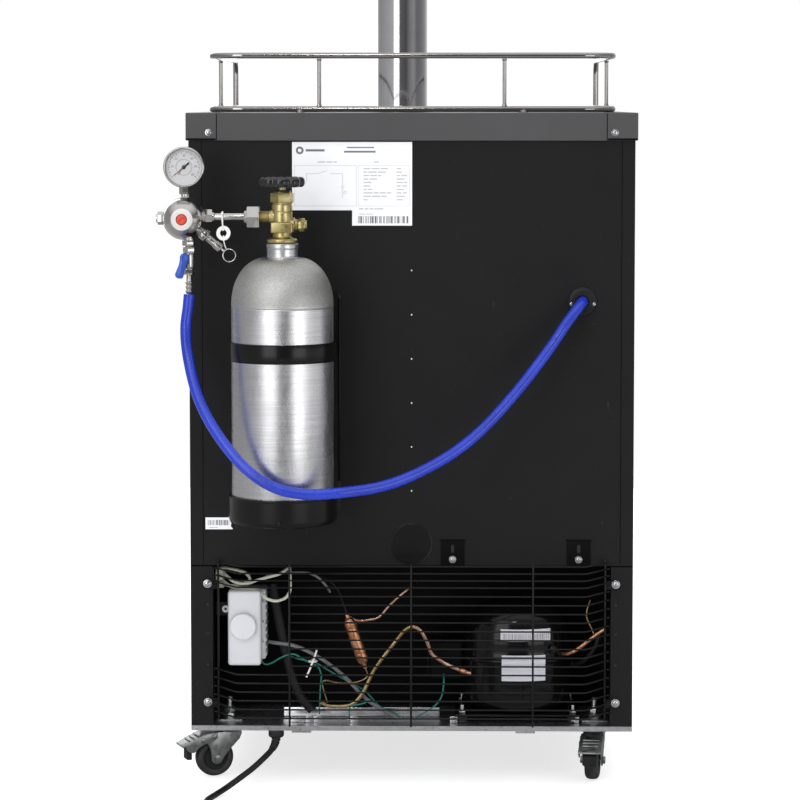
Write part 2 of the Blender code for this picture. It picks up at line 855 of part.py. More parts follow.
def rear_grille():
    """Horizontal wires that bulge out over the bay, on five uprights, with four fixing lugs."""
    bulge, face, wire = 0.0470, 0.0028, 0.0012
    ups = [0.3014]
    for pitch in [0.0095] * 3 + [0.01175] * 15:
        ups.append(ups[-1] - pitch)
    grille = None
    for row, up in enumerate(ups):
        route = [(-0.262, face), (-0.232, bulge), (0.232, bulge), (0.262, face)]
        if row in KNOB_ROWS:
            route[2:] = [(0.162, bulge)]
        made = grille_wire("rear_grille", [at(s, o, up) for s, o in route], wire, (0, 0, 1))
        grille = made if grille is None else join(grille, made)
    uprights = [
        (-0.260, face + 0.0020),
        (0.260, face + 0.0020),
        *((s, bulge + 0.0020) for s in (-0.162, 0, 0.162)),
    ]
    bars = None
    for side, out in uprights:
        bar = grille_wire("upright", [at(side, out, 0.086), at(side, out, 0.305)], 0.0014, (1, 0, 0))
        bars = bar if bars is None else join(bars, bar)
    lugs = None
    for side in (-0.269, 0.269):
        for up in (0.270, 0.109):
            lug = block(
                "lug",
                (side - 0.010, side + 0.010),
                (0.0005, 0.0042),
                (up - 0.006, up + 0.006),
                "black_paint",
            )
            lugs = lug if lugs is None else join(lugs, lug)
    return combine(grille, bars, lugs)


def join(first, second):
    """Put the second object's mesh into the first as it is, for shapes that don't touch."""
    bm = bmesh.new()
    for piece in (first, second):
        start = len(bm.verts)
        bm.from_mesh(piece.data)
        bm.verts.ensure_lookup_table()
        bmesh.ops.transform(bm, matrix=Matrix.Translation(piece.location), verts=bm.verts[start:])
    bm.to_mesh(first.data)
    bm.free()
    first.location = (0, 0, 0)
    bpy.data.objects.remove(second)
    return first


def compressor():
    """The hermetic compressor: a domed steel can with a weld rim, on a foot plate with four rubber feet."""
    centre = at(-0.1437, -0.070, 0.088)
    profile = [
        (0, 0),
        (0.048, 0.002),
        (0.058, 0.014),
        (0.060, 0.030),
        (0.060, 0.072),
        (0.0635, 0.072),
        (0.0635, 0.077),
        (0.060, 0.077),
        (0.0590, 0.105),
        (0.0560, 0.122),
        (0.0480, 0.137),
        (0.0350, 0.148),
        (0.018, 0.1535),
        (0, 0.155),
    ]
    can = turned("compressor", profile, centre, (0, 0, 1), "black_paint", 24)
    can.data.transform(Matrix.Diagonal((1.24, 1.0, 1.0, 1)))
    plate = block("plate", (-0.2287, -0.0587), (-0.122, -0.018), (0.0860, 0.0895), "black_paint")
    can = combine(can, plate)
    for side in (-0.2187, -0.0687):
        for out in (-0.112, -0.028):
            foot = rod("foot", at(side, out, BASE_TOP + GAP), at(side, out, 0.0880), 0.0085, "black_paint", 8)
            can = combine(can, foot)
    return can


def filter_dryer():
    top, bottom = at(0.0855, -0.020, 0.2190), at(0.0649, -0.020, 0.1590)
    length = (top - bottom).length
    profile = [
        (0, -0.008),
        (0.0025, -0.008),
        (0.0035, -0.002),
        (0.0085, 0.006),
        (0.0085, length - 0.006),
        (0.0045, length + 0.003),
        (0.0025, length + 0.008),
        (0, length + 0.008),
    ]
    return turned("filter_dryer", profile, bottom, top - bottom, "copper", 16)


def discharge_tube():
    """The copper pipe that loops up and over from the floor of the bay to the compressor."""
    route = [
        (0.124, -0.030, 0.103),
        (0.110, -0.030, 0.098),
        (0.083, -0.030, 0.100),
        (0.067, -0.030, 0.116),
        (0.050, -0.030, 0.150),
        (0.023, -0.030, 0.186),
        (0.009, -0.030, 0.203),
        (-0.001, -0.030, 0.208),
        (-0.012, -0.031, 0.202),
        (-0.021, -0.034, 0.185),
        (-0.028, -0.038, 0.168),
        (-0.045, -0.044, 0.155),
        (-0.062, -0.052, 0.147),
    ]
    line = smooth_line([at(*p) for p in route], 0.011)
    return sweep("discharge_tube", line, 0.0028, "copper", sides=8)


def suction_tube():
    route = [
        (-0.2200, -0.068, 0.150),
        (-0.2260, -0.062, 0.151),
        (-0.2360, -0.046, 0.160),
        (-0.2480, -0.034, 0.178),
        (-0.2550, -0.030, 0.198),
    ]
    return sweep("suction_tube", smooth_line([at(*p) for p in route], 0.010), 0.0030, "copper", sides=8)


def thermostat_box():
    """The white box that the thermostat knob turns in, with the ear that fixes it to the bay's side."""
    box = block(
        "thermostat_box",
        (0.2037, 0.2485),
        (-0.085, -0.010),
        (0.1569, 0.2588),
        "white_plastic",
        bevel=0.004,
    )
    ear = block("ear", (0.2440, 0.2677), (-0.030, -0.027), (0.2180, 0.2360), "white_plastic")
    return combine(box, ear)


def thermostat_knob():
    profile = [(0, 0), (0.0182, 0), (0.0182, 0.0065), (0.0170, 0.0082), (0, 0.0086)]
    knob = turned("thermostat_knob", profile, at(0.2274, -0.0097, 0.2114), (0, 1, 0), "white_plastic", 32)
    return knob


# Gas cylinder


def co2_cylinder():
    r = TANK_RADIUS
    profile = [(0, 0), (r - 0.016, 0), (r - 0.005, 0.004), (r, 0.014), (r, 0.285)]
    for k in range(1, 7):
        angle = math.pi / 2 * k / 7
        profile.append((0.0215 + (r - 0.0215) * math.cos(angle), 0.285 + 0.060 * math.sin(angle)))
    profile += [(0.0205, 0.349), (0.0205, 0.355), (0.0212, 0.357), (0.0212, 0.363), (0, 0.363)]
    return turned("co2_cylinder", profile, at(TANK_SIDE, TANK_OUT, TANK_BOTTOM), (0, 0, 1), "aluminium", 32)


def cylinder_valve():
    """The brass valve: a collar, a square block, the bonnet and nut, the outlet and the relief plug."""
    foot = at(TANK_SIDE, TANK_OUT, TANK_NECK + GAP)
    profile = [
        (0, 0),
        (0.0205, 0),
        (0.0205, 0.0065),
        (0.0125, 0.0075),
        (0.0125, 0.0200),
        (0.0137, 0.0270),
        (0.0137, 0.0510),
        (0.0128, 0.0510),
        (0.0128, 0.0530),
        (0.0142, 0.0530),
        (0.0142, 0.0660),
        (0.0120, 0.0690),
        (0.0045, 0.0690),
        (0.0045, 0.0760),
        (0, 0.0760),
    ]
    valve = turned("cylinder_valve", profile, foot, (0, 0, 1), "brass", 16)
    cube = block(
        "cube",
        (TANK_SIDE - 0.0142, TANK_SIDE + 0.0142),
        (TANK_OUT - 0.0140, TANK_OUT + 0.0140),
        (0.7470, 0.7610),
        "brass",
        bevel=0.001,
    )
    outlet = rod(
        "outlet",
        at(TANK_SIDE, TANK_OUT, VALVE_PORT_UP),
        at(0.2010, TANK_OUT, VALVE_PORT_UP),
        0.0075,
        "brass",
    )
    plug_up = 0.7575
    plug = rod("plug", at(TANK_SIDE, TANK_OUT, plug_up), at(0.1460, TANK_OUT, plug_up), 0.0070, "brass")
    head = prism(
        "head", hexagon(0.0150), "X", (-0.0115, 0), "brass", at(0.1465, TANK_OUT, plug_up)
    )
    return combine(valve, cube, outlet, plug, head)


def valve_handwheel():
    lobes = 8
    outline = []
    for k in range(4 * lobes):
        angle = math.tau * k / (4 * lobes)
        r = 0.0285 + 0.0016 * math.cos(lobes * angle)
        outline.append((r * math.cos(angle), r * math.sin(angle)))
    centre = at(TANK_SIDE, TANK_OUT, 0.8060)
    wheel = prism("valve_handwheel", outline, "Z", (0, 0.0145), "black_plastic", centre, bevel=0.0025)
    bore = rod(
        "bore",
        centre - Vector((0, 0, 0.01)),
        centre + Vector((0, 0, 0.0040)),
        0.0048,
        "black_plastic",
        12,
    )
    dish = turned(
        "dish",
        [(0, 0.0105), (0.020, 0.0105), (0.0235, 0.020), (0, 0.020)],
        centre,
        (0, 0, 1),
        "black_plastic",
        16,
    )
    return cut(wheel, bore, dish)


def cylinder_bracket():
    """The wall plate with the cup that the cylinder stands in."""
    plate = block(
        "cylinder_bracket",
        (TANK_SIDE - 0.073, TANK_SIDE + 0.073),
        (GAP, 0.0033),
        (0.365, 0.668),
        "black_paint",
    )
    inner, outer = TANK_RADIUS + 0.0006, TANK_RADIUS + 0.0048
    profile = [(0, 0), (outer, 0), (outer, 0.038), (inner, 0.038), (inner, 0.0045), (0, 0.0045)]
    cup = turned("cup", profile, at(TANK_SIDE, TANK_OUT, 0.365), (0, 0, 1), "black_paint", 28)
    shelf = block(
        "shelf", (TANK_SIDE - 0.045, TANK_SIDE + 0.045), (0.001, 0.050), (0.365, 0.3693), "black_paint"
    )
    gusset = block(
        "gusset", (TANK_SIDE - 0.045, TANK_SIDE + 0.045), (0.001, 0.0200), (0.3670, 0.403), "black_paint"
    )
    hollow = rod(
        "hollow",
        at(TANK_SIDE, TANK_OUT, 0.3695),
        at(TANK_SIDE, TANK_OUT, 0.42),
        inner,
        "black_paint",
        28,
    )
    return cut(combine(plate, cup, combine(shelf, gusset)), hollow)


def bracket_strap():
    """The band round the cylinder, hooked back to the wall plate."""
    inner, outer, back = TANK_RADIUS + 0.0006, TANK_RADIUS + 0.0024, 0.0036 - TANK_OUT
    arc = [math.pi * k / 18 for k in range(19)]
    outline = [(outer, back), *((outer * math.cos(a), outer * math.sin(a)) for a in arc), (-outer, back)]
    outline += [
        (-inner, back),
        *((inner * math.cos(a), inner * math.sin(a)) for a in reversed(arc)),
        (inner, back),
    ]
    return prism(
        "bracket_strap", outline, "Z", (-0.0125, 0.0125), "black_paint", at(TANK_SIDE, TANK_OUT, 0.5925)
    )


# Regulator


def regulator_body():
    """The regulator: round body, domed bonnet, side plug, inlet, gauge port, outlet and relief valve."""
    centre = at(REG_SIDE, TANK_OUT, REG_UP)
    profile = [
        (0, -0.022),
        (0.0120, -0.022),
        (0.0225, -0.016),
        (0.0235, 0.006),
        (0.0275, 0.008),
        (0.0278, 0.014),
        (0.0265, 0.018),
    ]
    for k in (1, 3, 5):
        angle = math.pi / 2 * k / 7
        profile.append((0.0265 * math.cos(angle), 0.018 + 0.034 * math.sin(angle)))
    profile += [(0.0090, 0.0512), (0.0070, 0.0512), (0.0070, 0.0450), (0, 0.0450)]
    body = turned("regulator_body", profile, centre, (0, 1, 0), "chrome", 24)
    reach = VALVE_PORT_UP - REG_UP
    plug = prism("plug", hexagon(0.0150), "X", (0.0200, 0.0372), "chrome", centre)
    nipple = prism(
        "nipple", hexagon(0.0170), "X", (-0.0395, -0.0180), "chrome", centre + Vector((0, 0, reach))
    )
    inlet = rod(
        "inlet",
        centre + Vector((-0.030, 0, reach)),
        at(0.2013, TANK_OUT, VALVE_PORT_UP),
        0.0050,
        "chrome",
        12,
    )
    port_up = GAUGE_UP - GAUGE_RADIUS - 0.0125
    top_port = rod("top_port", centre, at(REG_SIDE, TANK_OUT, port_up), 0.0085, "chrome", 12)
    outlet = rod(
        "outlet",
        at(SHUTOFF_SIDE, TANK_OUT, REG_UP - 0.015),
        at(SHUTOFF_SIDE, TANK_OUT, REG_UP - 0.0360),
        0.0085,
        "chrome",
        12,
    )
    away = Vector((-0.766, 0, -0.643))
    start = centre + away * 0.018
    relief = turned(
        "relief",
        [
            (0, 0),
            (0.0070, 0),
            (0.0070, 0.020),
            (0.0050, 0.021),
            (0.0050, 0.033),
            (0.0060, 0.034),
            (0.0060, 0.044),
            (0.0019, 0.044),
            (0.0019, 0.030),
            (0, 0.030),
        ],
        start,
        away,
        "chrome",
        10,
    )
    return combine(body, plug, nipple, inlet, top_port, outlet, relief)


def relief_pull():
    """The relief valve's pin with its split ring, which is pulled to vent gas."""
    away = Vector((-0.766, 0, -0.643))
    start = at(REG_SIDE, TANK_OUT, REG_UP) + away * 0.018
    pin = rod("relief_pull", start + away * 0.032, start + away * 0.0505, 0.0015, "chrome", 8)
    centre = start + away * 0.0575
    loop = turned(
        "loop",
        [(0.0083 + u, v) for u, v in polygon(4, 0.0009)],
        centre,
        (0, 1, 0),
        "chrome",
        18,
    )
    return combine(pin, loop)


def cga_nut():
    """The large nut that holds the regulator's inlet on the cylinder valve."""
    centre = at(0.2075, TANK_OUT, VALVE_PORT_UP)
    nut = prism("cga_nut", hexagon(0.0270, math.pi / 6), "X", (-0.0105, 0.0105), "zinc", centre)
    thread = rod("thread", centre - Vector((0.02, 0, 0)), centre - Vector((0.0035, 0, 0)), 0.0079, "zinc")
    tube = rod("tube", centre - Vector((0.01, 0, 0)), centre + Vector((0.02, 0, 0)), 0.0054, "zinc", 12)
    return cut(nut, thread, tube)


def gauge_case():
    """The pressure gauge's case: a cup with a raised bezel, its dial, and the stem to the regulator."""
    centre = at(REG_SIDE, TANK_OUT, GAUGE_UP)
    r = GAUGE_RADIUS
    profile = [
        (0, -0.013),
        (r - 0.006, -0.013),
        (r - 0.0015, -0.009),
        (r - 0.0010, 0.006),
        (r, 0.008),
        (r, 0.0135),
        (r - 0.0015, 0.0150),
        (r - 0.0030, 0.0135),
        (r - 0.0030, 0.0090),
        (0, 0.0090),
    ]
    case = turned("gauge_case", profile, centre, (0, 1, 0), "chrome", 28)
    stem_top, stem_foot = GAUGE_UP - r + 0.003, GAUGE_UP - r - 0.0122
    stem = prism(
        "stem", hexagon(0.0125), "Z", (stem_foot - stem_top, 0), "chrome", at(REG_SIDE, TANK_OUT, stem_top)
    )
    return combine(case, stem)


def gauge_needle():
    """The pointer: a hub, a long tapered tip and a short tail, lying at zero."""
    outline = [
        (-0.0080, -0.0010),
        (-0.0080, 0.0010),
        (0, 0.0011),
        (0.0185, 0.0003),
        (0.0185, -0.0003),
        (0, -0.0011),
    ]
    centre = at(REG_SIDE, TANK_OUT + 0.0098, GAUGE_UP)
    angle = math.radians(NEEDLE_ANGLE)
    seen = [
        (-(u * math.cos(angle) - v * math.sin(angle)), u * math.sin(angle) + v * math.cos(angle))
        for u, v in outline
    ]
    needle = prism("gauge_needle", seen, "Y", (0, 0.0006), "black_plastic", centre)
    hub = prism("hub", polygon(12, 0.0026), "Y", (-0.0002, 0.0012), "black_plastic", centre)
    return combine(needle, hub)


def adjusting_screw():
    centre = at(REG_SIDE, TANK_OUT + 0.0453, REG_UP)
    profile = [(0, 0), (0.0064, 0), (0.0064, 0.0085), (0.0052, 0.0098), (0, 0.0098)]
    return turned("adjusting_screw", profile, centre, (0, 1, 0), "red_plastic", 20)


def shutoff_body():
    """The ball valve under the regulator with its hose barb."""
    top = REG_UP - 0.0363
    foot = 0.6670
    profile = [
        (0, foot - top),
        (0.0030, foot - top),
        (0.0046, foot - top + 0.003),
        (0.0046, -0.0400),
        (0.0036, -0.0400),
        (0.0036, -0.0340),
        (0.0058, -0.0340),
        (0.0070, -0.0300),
        (0.0070, -0.0060),
        (0.0058, -0.0040),
        (0.0058, 0),
        (0, 0),
    ]
    body = turned("shutoff_body", profile, at(SHUTOFF_SIDE, TANK_OUT, top), (0, 0, 1), "chrome", 16)
    shoulder = rod(
        "shoulder",
        at(SHUTOFF_PIVOT_SIDE, TANK_OUT, SHUTOFF_PIVOT_UP),
        at(SHUTOFF_PIVOT_SIDE, TANK_OUT + 0.0100, SHUTOFF_PIVOT_UP),
        0.0045,
        "chrome",
        12,
    )
    return combine(body, shoulder)


def shutoff_lever():
    """The blue lever on the ball valve's spindle, pointing down the hose when it is open."""
    pivot = at(SHUTOFF_PIVOT_SIDE, TANK_OUT + 0.0103, SHUTOFF_PIVOT_UP)
    lean = 0.006
    outline = [
        (0.0060 * math.cos(a), 0.0060 * math.sin(a)) for a in (math.radians(-10 + 20 * k) for k in range(11))
    ]
    outline += [
        (-0.0045 + lean, -0.0255),
        (-0.0010 + lean, -0.0275),
        (0.0045 + lean, -0.0265),
        (0.0062 + lean, -0.0235),
    ]
    return prism("shutoff_lever", outline, "Y", (0, 0.0060), "blue_plastic", pivot, bevel=0.0012)


# Hose and cord


def hose_grommet():
    profile = [
        (HOSE_RADIUS + 0.0005, 0.0042),
        (0.0150, 0.0042),
        (0.0190, 0.0022),
        (0.0195, GAP),
        (0.0095, GAP),
        (0.0095, -0.0060),
        (HOSE_RADIUS + 0.0005, -0.0060),
    ]
    return turned("hose_grommet", profile, at(GROMMET_SIDE, 0, GROMMET_UP), (0, 1, 0), "black_rubber", 20)


def gas_hose():
    """The blue gas hose: down from the barb, round in front of the cylinder and up into the back panel."""
    route = [
        (SHUTOFF_SIDE, 0.0880, 0.6665),
        (0.2915, 0.0885, 0.6500),
        (0.2945, 0.0920, 0.6200),
        (0.2900, 0.1020, 0.5820),
        (0.2760, 0.1230, 0.5350),
        (0.2520, 0.1450, 0.4930),
        (0.2180, 0.1650, 0.4530),
        (0.1800, 0.1740, 0.4260),
        (0.1380, 0.1740, 0.4150),
        (0.0860, 0.1650, 0.4160),
        (0.0240, 0.1440, 0.4250),
        (-0.0400, 0.1180, 0.4520),
        (-0.0900, 0.0950, 0.4870),
        (-0.1390, 0.0720, 0.5380),
        (-0.1800, 0.0500, 0.5890),
        (-0.2060, 0.0370, 0.6260),
        (-0.2230, 0.0200, 0.6470),
        (GROMMET_SIDE, 0.0070, GROMMET_UP),
    ]
    line = [*smooth_line([at(*p) for p in route], 0.020), at(GROMMET_SIDE, -0.0060, GROMMET_UP)]
    return cord_tube("gas_hose", line, HOSE_RADIUS, "blue_hose")


def gland_tip():
    """Where the cord leaves the strain relief, and the way it points there."""
    away = Vector((0.30, 0.62, -0.85)).normalized()
    return at(GLAND_SIDE, GLAND_OUT, BASE_BOTTOM - GLAND_HEIGHT) + away * SLEEVE_LENGTH, away


def strain_relief():
    """A round rubber boss under the base's rear edge, with a sleeve that tapers towards the cord."""
    tip, away = gland_tip()
    top, foot = BASE_BOTTOM - GAP, BASE_BOTTOM - GLAND_HEIGHT
    boss = rod(
        "strain_relief",
        at(GLAND_SIDE, GLAND_OUT, top),
        at(GLAND_SIDE, GLAND_OUT, foot),
        GLAND_RADIUS,
        "black_rubber",
    )
    profile = [(0, -0.003), (0.0066, -0.003), (0.0062, 0.006), (0.0047, SLEEVE_LENGTH), (0, SLEEVE_LENGTH)]
    sleeve = turned("sleeve", profile, tip - away * SLEEVE_LENGTH, away, "black_rubber", 16)
    return combine(boss, sleeve)


def power_cord():
    """The mains cord from its strain relief down to the floor and along it to the coil."""
    tip, away = gland_tip()
    route = [
        tip + away * 0.007,
        at(0.2035, 0.0300, 0.0360),
        at(0.2270, 0.0530, 0.0200),
        at(0.2450, 0.0750, 0.0090),
        at(0.2590, 0.1000, 0.0045),
        at(0.2670, 0.1300, 0.0043),
        at(0.2660, 0.1680, 0.0043),
        at(0.2590, 0.2100, 0.0043),
        at(COIL_SIDE + OUTER_TURN, COIL_OUT - 0.0302, 0.0043),
    ]
    return cord_tube(
        "power_cord", [tip + away * GAP, *smooth_line(route, 0.018)], CORD_RADIUS, "black_rubber"
    )


def cord_coil():
    """The rest of the cord, wound in a neat coil: three turns wide and two high."""
    profile = [(COIL_INNER, 0), (COIL_OUTER, 0), (COIL_OUTER, COIL_HEIGHT), (COIL_INNER, COIL_HEIGHT)]
    return turned("cord_coil", profile, at(COIL_SIDE, COIL_OUT, GAP), (0, 0, 1), "black_rubber", 32)


def power_plug():
    """The moulded plug, lying beside the coil where the top turn leaves it, with its three blades."""
    nose = at(COIL_SIDE - OUTER_TURN, COIL_OUT - 0.0312, 0.0117)
    tail = turned(
        "power_plug",
        [(0, 0), (0.0048, 0), (0.0066, 0.010), (0.0080, 0.024), (0, 0.024)],
        nose,
        (0, -1, 0),
        "black_rubber",
        12,
    )
    body = prism(
        "body",
        [(-0.0130, -0.0100), (-0.0100, -0.0113), (0.0100, -0.0113), (0.0130, -0.0100), (0.0130, 0.0050),
         (0.0080, 0.0085), (-0.0080, 0.0085), (-0.0130, 0.0050)],
        "Y",
        (-0.0500, -0.0200),
        "black_rubber",
        nose,
    )
    blades = [
        block(
            "blade",
            (COIL_SIDE - OUTER_TURN + side - 0.0007, COIL_SIDE - OUTER_TURN + side + 0.0007),
            (COIL_OUT - 0.0312 - 0.0680, COIL_OUT - 0.0312 - 0.0490),
            (0.0095, 0.0160),
            "brass",
        )
        for side in (-0.0062, 0.0062)
    ]
    earth_start = nose + Vector((0, -0.0490, -0.0062))
    earth = rod("earth", earth_start, earth_start + Vector((0, -0.0210, 0)), 0.0024, "brass", 10)
    return combine(tail, body, *blades, earth)


# Casters


def caster_fork(name, stem, heading):
    """The swivelling fork: a bearing disc, two legs and the axle. heading is the way that it trails."""
    bearing = [(0, -0.0088), (0.0190, -0.0088), (0.0190, -0.0020), (0.0175, -GAP), (0, -GAP)]
    fork = turned(name, bearing, (0, 0, 0), (0, 0, 1), "zinc", 16)
    top, axle = -0.0075, WHEEL_RADIUS - stem.z
    leg = [
        (-0.0150, top),
        (0.0190, top),
        (0.0290, axle + 0.004),
        (0.0265, axle - 0.0055),
        (0.0185, axle - 0.0055),
        (0.0130, axle + 0.004),
    ]
    crown = [(-0.0160, -0.0145), (0.0195, -0.0145), (0.0195, 0.0145), (-0.0160, 0.0145)]
    fork = combine(
        fork,
        prism("crown", crown, "Z", (-0.0095, -0.0066), "zinc"),
        prism("leg", leg, "Y", (0.0118, 0.0138), "zinc"),
        prism("leg", leg, "Y", (-0.0138, -0.0118), "zinc"),
        rod("axle", (TRAIL, -0.0155, axle), (TRAIL, 0.0155, axle), 0.0036, "zinc", 8),
    )
    fork.matrix_world = Matrix.Translation(stem) @ Matrix.Rotation(heading, 4, "Z")
    return fork


def caster_wheel(name, stem, heading):
    across = Vector((-math.sin(heading), math.cos(heading), 0))
    trail = Vector((math.cos(heading), math.sin(heading), 0)) * TRAIL
    centre = Vector((stem.x, stem.y, WHEEL_RADIUS)) + trail
    w, r = WHEEL_HALF_WIDTH, WHEEL_RADIUS
    profile = [(0.0041, -w), (r - 0.003, -w), (r, -w + 0.003), (r, w - 0.003), (r - 0.003, w), (0.0041, w)]
    return turned(name, profile, centre, across, "black_rubber", 24)


def brake_pedal(name, stem, heading):
    """The brake lever hinged on the fork's crown above the wheel, with a tread that slopes down."""
    turn = Matrix.Rotation(heading, 4, "Z")
    side_view = [
        (0.0215, -0.0085),
        (0.0400, -0.0095),
        (0.0560, -0.0165),
        (0.0720, -0.0245),
        (0.0705, -0.0270),
        (0.0540, -0.0190),
        (0.0390, -0.0120),
        (0.0215, -0.0110),
    ]
    pivot = stem + Vector((math.cos(heading) * 0.0230, math.sin(heading) * 0.0230, -0.0098))
    outline = [(u - 0.0230, v + 0.0098) for u, v in side_view]
    pedal = prism(name, outline, "Y", (-0.0155, 0.0155), "zinc")
    pedal.matrix_world = Matrix.Translation(pivot) @ turn
    return pedal


def casters():
    rear, front = -CASTER_INSET, CASTER_INSET - DEPTH
    stems = {
        "rear_left": (CASTER_SIDE, rear, math.radians(22)),
        "rear_right": (-CASTER_SIDE, rear, math.radians(82)),
        "front_left": (CASTER_SIDE, front, math.radians(60)),
        "front_right": (-CASTER_SIDE, front, math.radians(100)),
    }
    for place, (side, out, heading) in stems.items():
        stem = at(side, out, BASE_BOTTOM)
        caster_fork(f"caster_fork_{place}", stem, heading)
        caster_wheel(f"caster_wheel_{place}", stem, heading)
        if place.startswith("rear"):
            brake_pedal(f"brake_pedal_{place}", stem, heading)


def build():
    for old in list(bpy.data.objects):
        bpy.data.objects.remove(old)
    side_panel("side_panel_left", 1)
    side_panel("side_panel_right", -1)
    for make in (
        back_panel,
        insulated_liner,
        bay_liner,
        base_plate,
        top_panel,
        top_rear_strip,
        guard_rail_upper,
        guard_rail_lower,
        tower_column,
        tower_cap,
        faucet_body,
        faucet_lever,
        tap_handle,
        drip_tray,
        drip_grate,
        door_shell,
        door_liner,
        door_gasket,
        door_handle,
        evaporator_plate,
        rear_grille,
        compressor,
        filter_dryer,
        discharge_tube,
        suction_tube,
        thermostat_box,
        thermostat_knob,
        co2_cylinder,
        cylinder_valve,
        valve_handwheel,
        cylinder_bracket,
        bracket_strap,
        regulator_body,
        relief_pull,
        cga_nut,
        gauge_case,
        gauge_needle,
        adjusting_screw,
        shutoff_body,
        shutoff_lever,
        hose_grommet,
        gas_hose,
        strain_relief,
        power_cord,
        cord_coil,
        power_plug,
        casters,
    ):
        make()
    hinge("hinge_upper", DOOR_TOP + 0.0007, 1)
    hinge("hinge_lower", DOOR_BOTTOM - 0.0007, -1)


build()
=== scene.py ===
"""The finished look of a keg refrigerator on casters, seen from behind.

Lengths, places and profiles are millimetres, and the shapes made from them are metres, as the materials,
the lights and the frame are. A place is side (towards +X from the cabinet's middle plane), out (towards +Y
from its rear face) and up (above the floor). A turned profile's points are (radius, along its axis).
"""

import math
import random

import bmesh
import bpy
from mathutils import Matrix, Vector


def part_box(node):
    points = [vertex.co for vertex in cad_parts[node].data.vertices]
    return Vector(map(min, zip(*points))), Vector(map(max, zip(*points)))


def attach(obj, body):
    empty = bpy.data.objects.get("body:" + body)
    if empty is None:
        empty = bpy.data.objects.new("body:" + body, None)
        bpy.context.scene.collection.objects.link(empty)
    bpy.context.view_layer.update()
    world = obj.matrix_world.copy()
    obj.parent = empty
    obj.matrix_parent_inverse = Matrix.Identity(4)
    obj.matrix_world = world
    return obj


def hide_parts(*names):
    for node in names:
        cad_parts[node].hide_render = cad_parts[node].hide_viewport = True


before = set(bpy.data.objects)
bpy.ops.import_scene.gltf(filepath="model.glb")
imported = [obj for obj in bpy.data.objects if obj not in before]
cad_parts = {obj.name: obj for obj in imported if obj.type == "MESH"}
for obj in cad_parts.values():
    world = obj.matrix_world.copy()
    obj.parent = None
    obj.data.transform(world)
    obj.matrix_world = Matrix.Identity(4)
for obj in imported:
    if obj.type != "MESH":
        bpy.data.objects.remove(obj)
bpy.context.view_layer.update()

panel_low, panel_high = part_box("back_panel")
MM = 0.001
LEFT, BACK, UP = (1, 0, 0), (0, 1, 0), (0, 0, 1)
RIGHT, FORWARD, DOWN = (-1, 0, 0), (0, -1, 0), (0, 0, -1)
UPRIGHT = Matrix(((1, 0, 0, 0), (0, 0, -1, 0), (0, 1, 0, 0), (0, 0, 0, 1)))
MIDDLE = (panel_low[0] + panel_high[0]) / 2 / MM
REAR = panel_high[1] / MM
BASE_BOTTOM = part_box("strain_relief")[1][2] / MM + 0.3
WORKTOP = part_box("top_panel")[1][2] / MM


def at(side, out, up):
    return Vector((MIDDLE + side, REAR + out, up))


# Places that several pieces share
TANK_SIDE, TANK_OUT, TANK_BOTTOM, TANK_RADIUS = 168, 88, 370, 66.7
PORT_UP = 767.9
REG_SIDE, REG_UP = 295, 766
GAUGE_UP, GAUGE_RADIUS = 832.7, 26.7
SHUTOFF_SIDE = 290
LEVER_SIDE, LEVER_UP = 294.5, 715
RELIEF_WAY = Vector((-0.766, 0, -0.643)).normalized()
GROMMET_SIDE, GROMMET_UP = -228.1, 651.9
TOWER_SIDE, TOWER_OUT, TOWER_RADIUS, TOWER_TOP = 17.8, -345, 36, 1240
FAUCET_OUT, FAUCET_UP, SHANK_UP = -427, 1200, 1190
RAIL_HALF, RAIL_REAR, RAIL_FRONT, RAIL_LOW, RAIL_HIGH = 270, -15, -520, 907.8, 978.9
HOSE_RADIUS, CORD_RADIUS = 7.15, 4
COIL_SIDE, COIL_OUT = 205, 277
COIL_RADIUS, COIL_PITCH = 52, 8
FLOOR_CORD_UP = 4.3
CREASE = math.radians(34)


# Camera


def make_camera():
    camera = bpy.data.objects.new("camera", bpy.data.cameras.new("camera"))
    bpy.context.collection.objects.link(camera)
    camera.location = at(-45.1, 4000, 916.6) * MM
    yaw, pitch = math.radians(0.868), math.radians(4.4495)
    view = Vector((math.sin(yaw) * math.cos(pitch), -math.cos(yaw) * math.cos(pitch), -math.sin(pitch)))
    camera.rotation_euler = view.to_track_quat("-Z", "Y").to_euler()
    camera.data.lens = 135.08
    camera.data.sensor_width = 36
    camera.data.shift_y = -0.08
    camera.data.clip_end = 50
    bpy.context.scene.camera = camera


# Materials


class Nodes:
    """A node tree with short ways to add nodes and to link, rescale and mix what they give."""

    def __init__(self, tree):
        self.tree = tree

    def node(self, kind, **settings):
        made = self.tree.nodes.new(kind)
        for key, value in settings.items():
            setattr(made, key, value)
        return made

    def link(self, source, target):
        self.tree.links.new(source, target)
        return self

    def ranged(self, source, low, high, start=0.3, end=0.7):
        node = self.node("ShaderNodeMapRange")
        for key, value in (("From Min", start), ("From Max", end), ("To Min", low), ("To Max", high)):
            node.inputs[key].default_value = value
        self.link(source, node.inputs["Value"])
        return node.outputs["Result"]

    def mixed(self, first, second, factor, kind="RGBA"):
        """Between two things, each a node's output, a colour or a number."""
        mix = self.node("ShaderNodeMix", data_type=kind)
        for key, value in (("A", first), ("B", second)):
            if isinstance(value, bpy.types.NodeSocket):
                self.link(value, mix.inputs[key])
            else:
                mix.inputs[key].default_value = value
        self.link(factor, mix.inputs["Factor"])
        return mix.outputs["Result"]


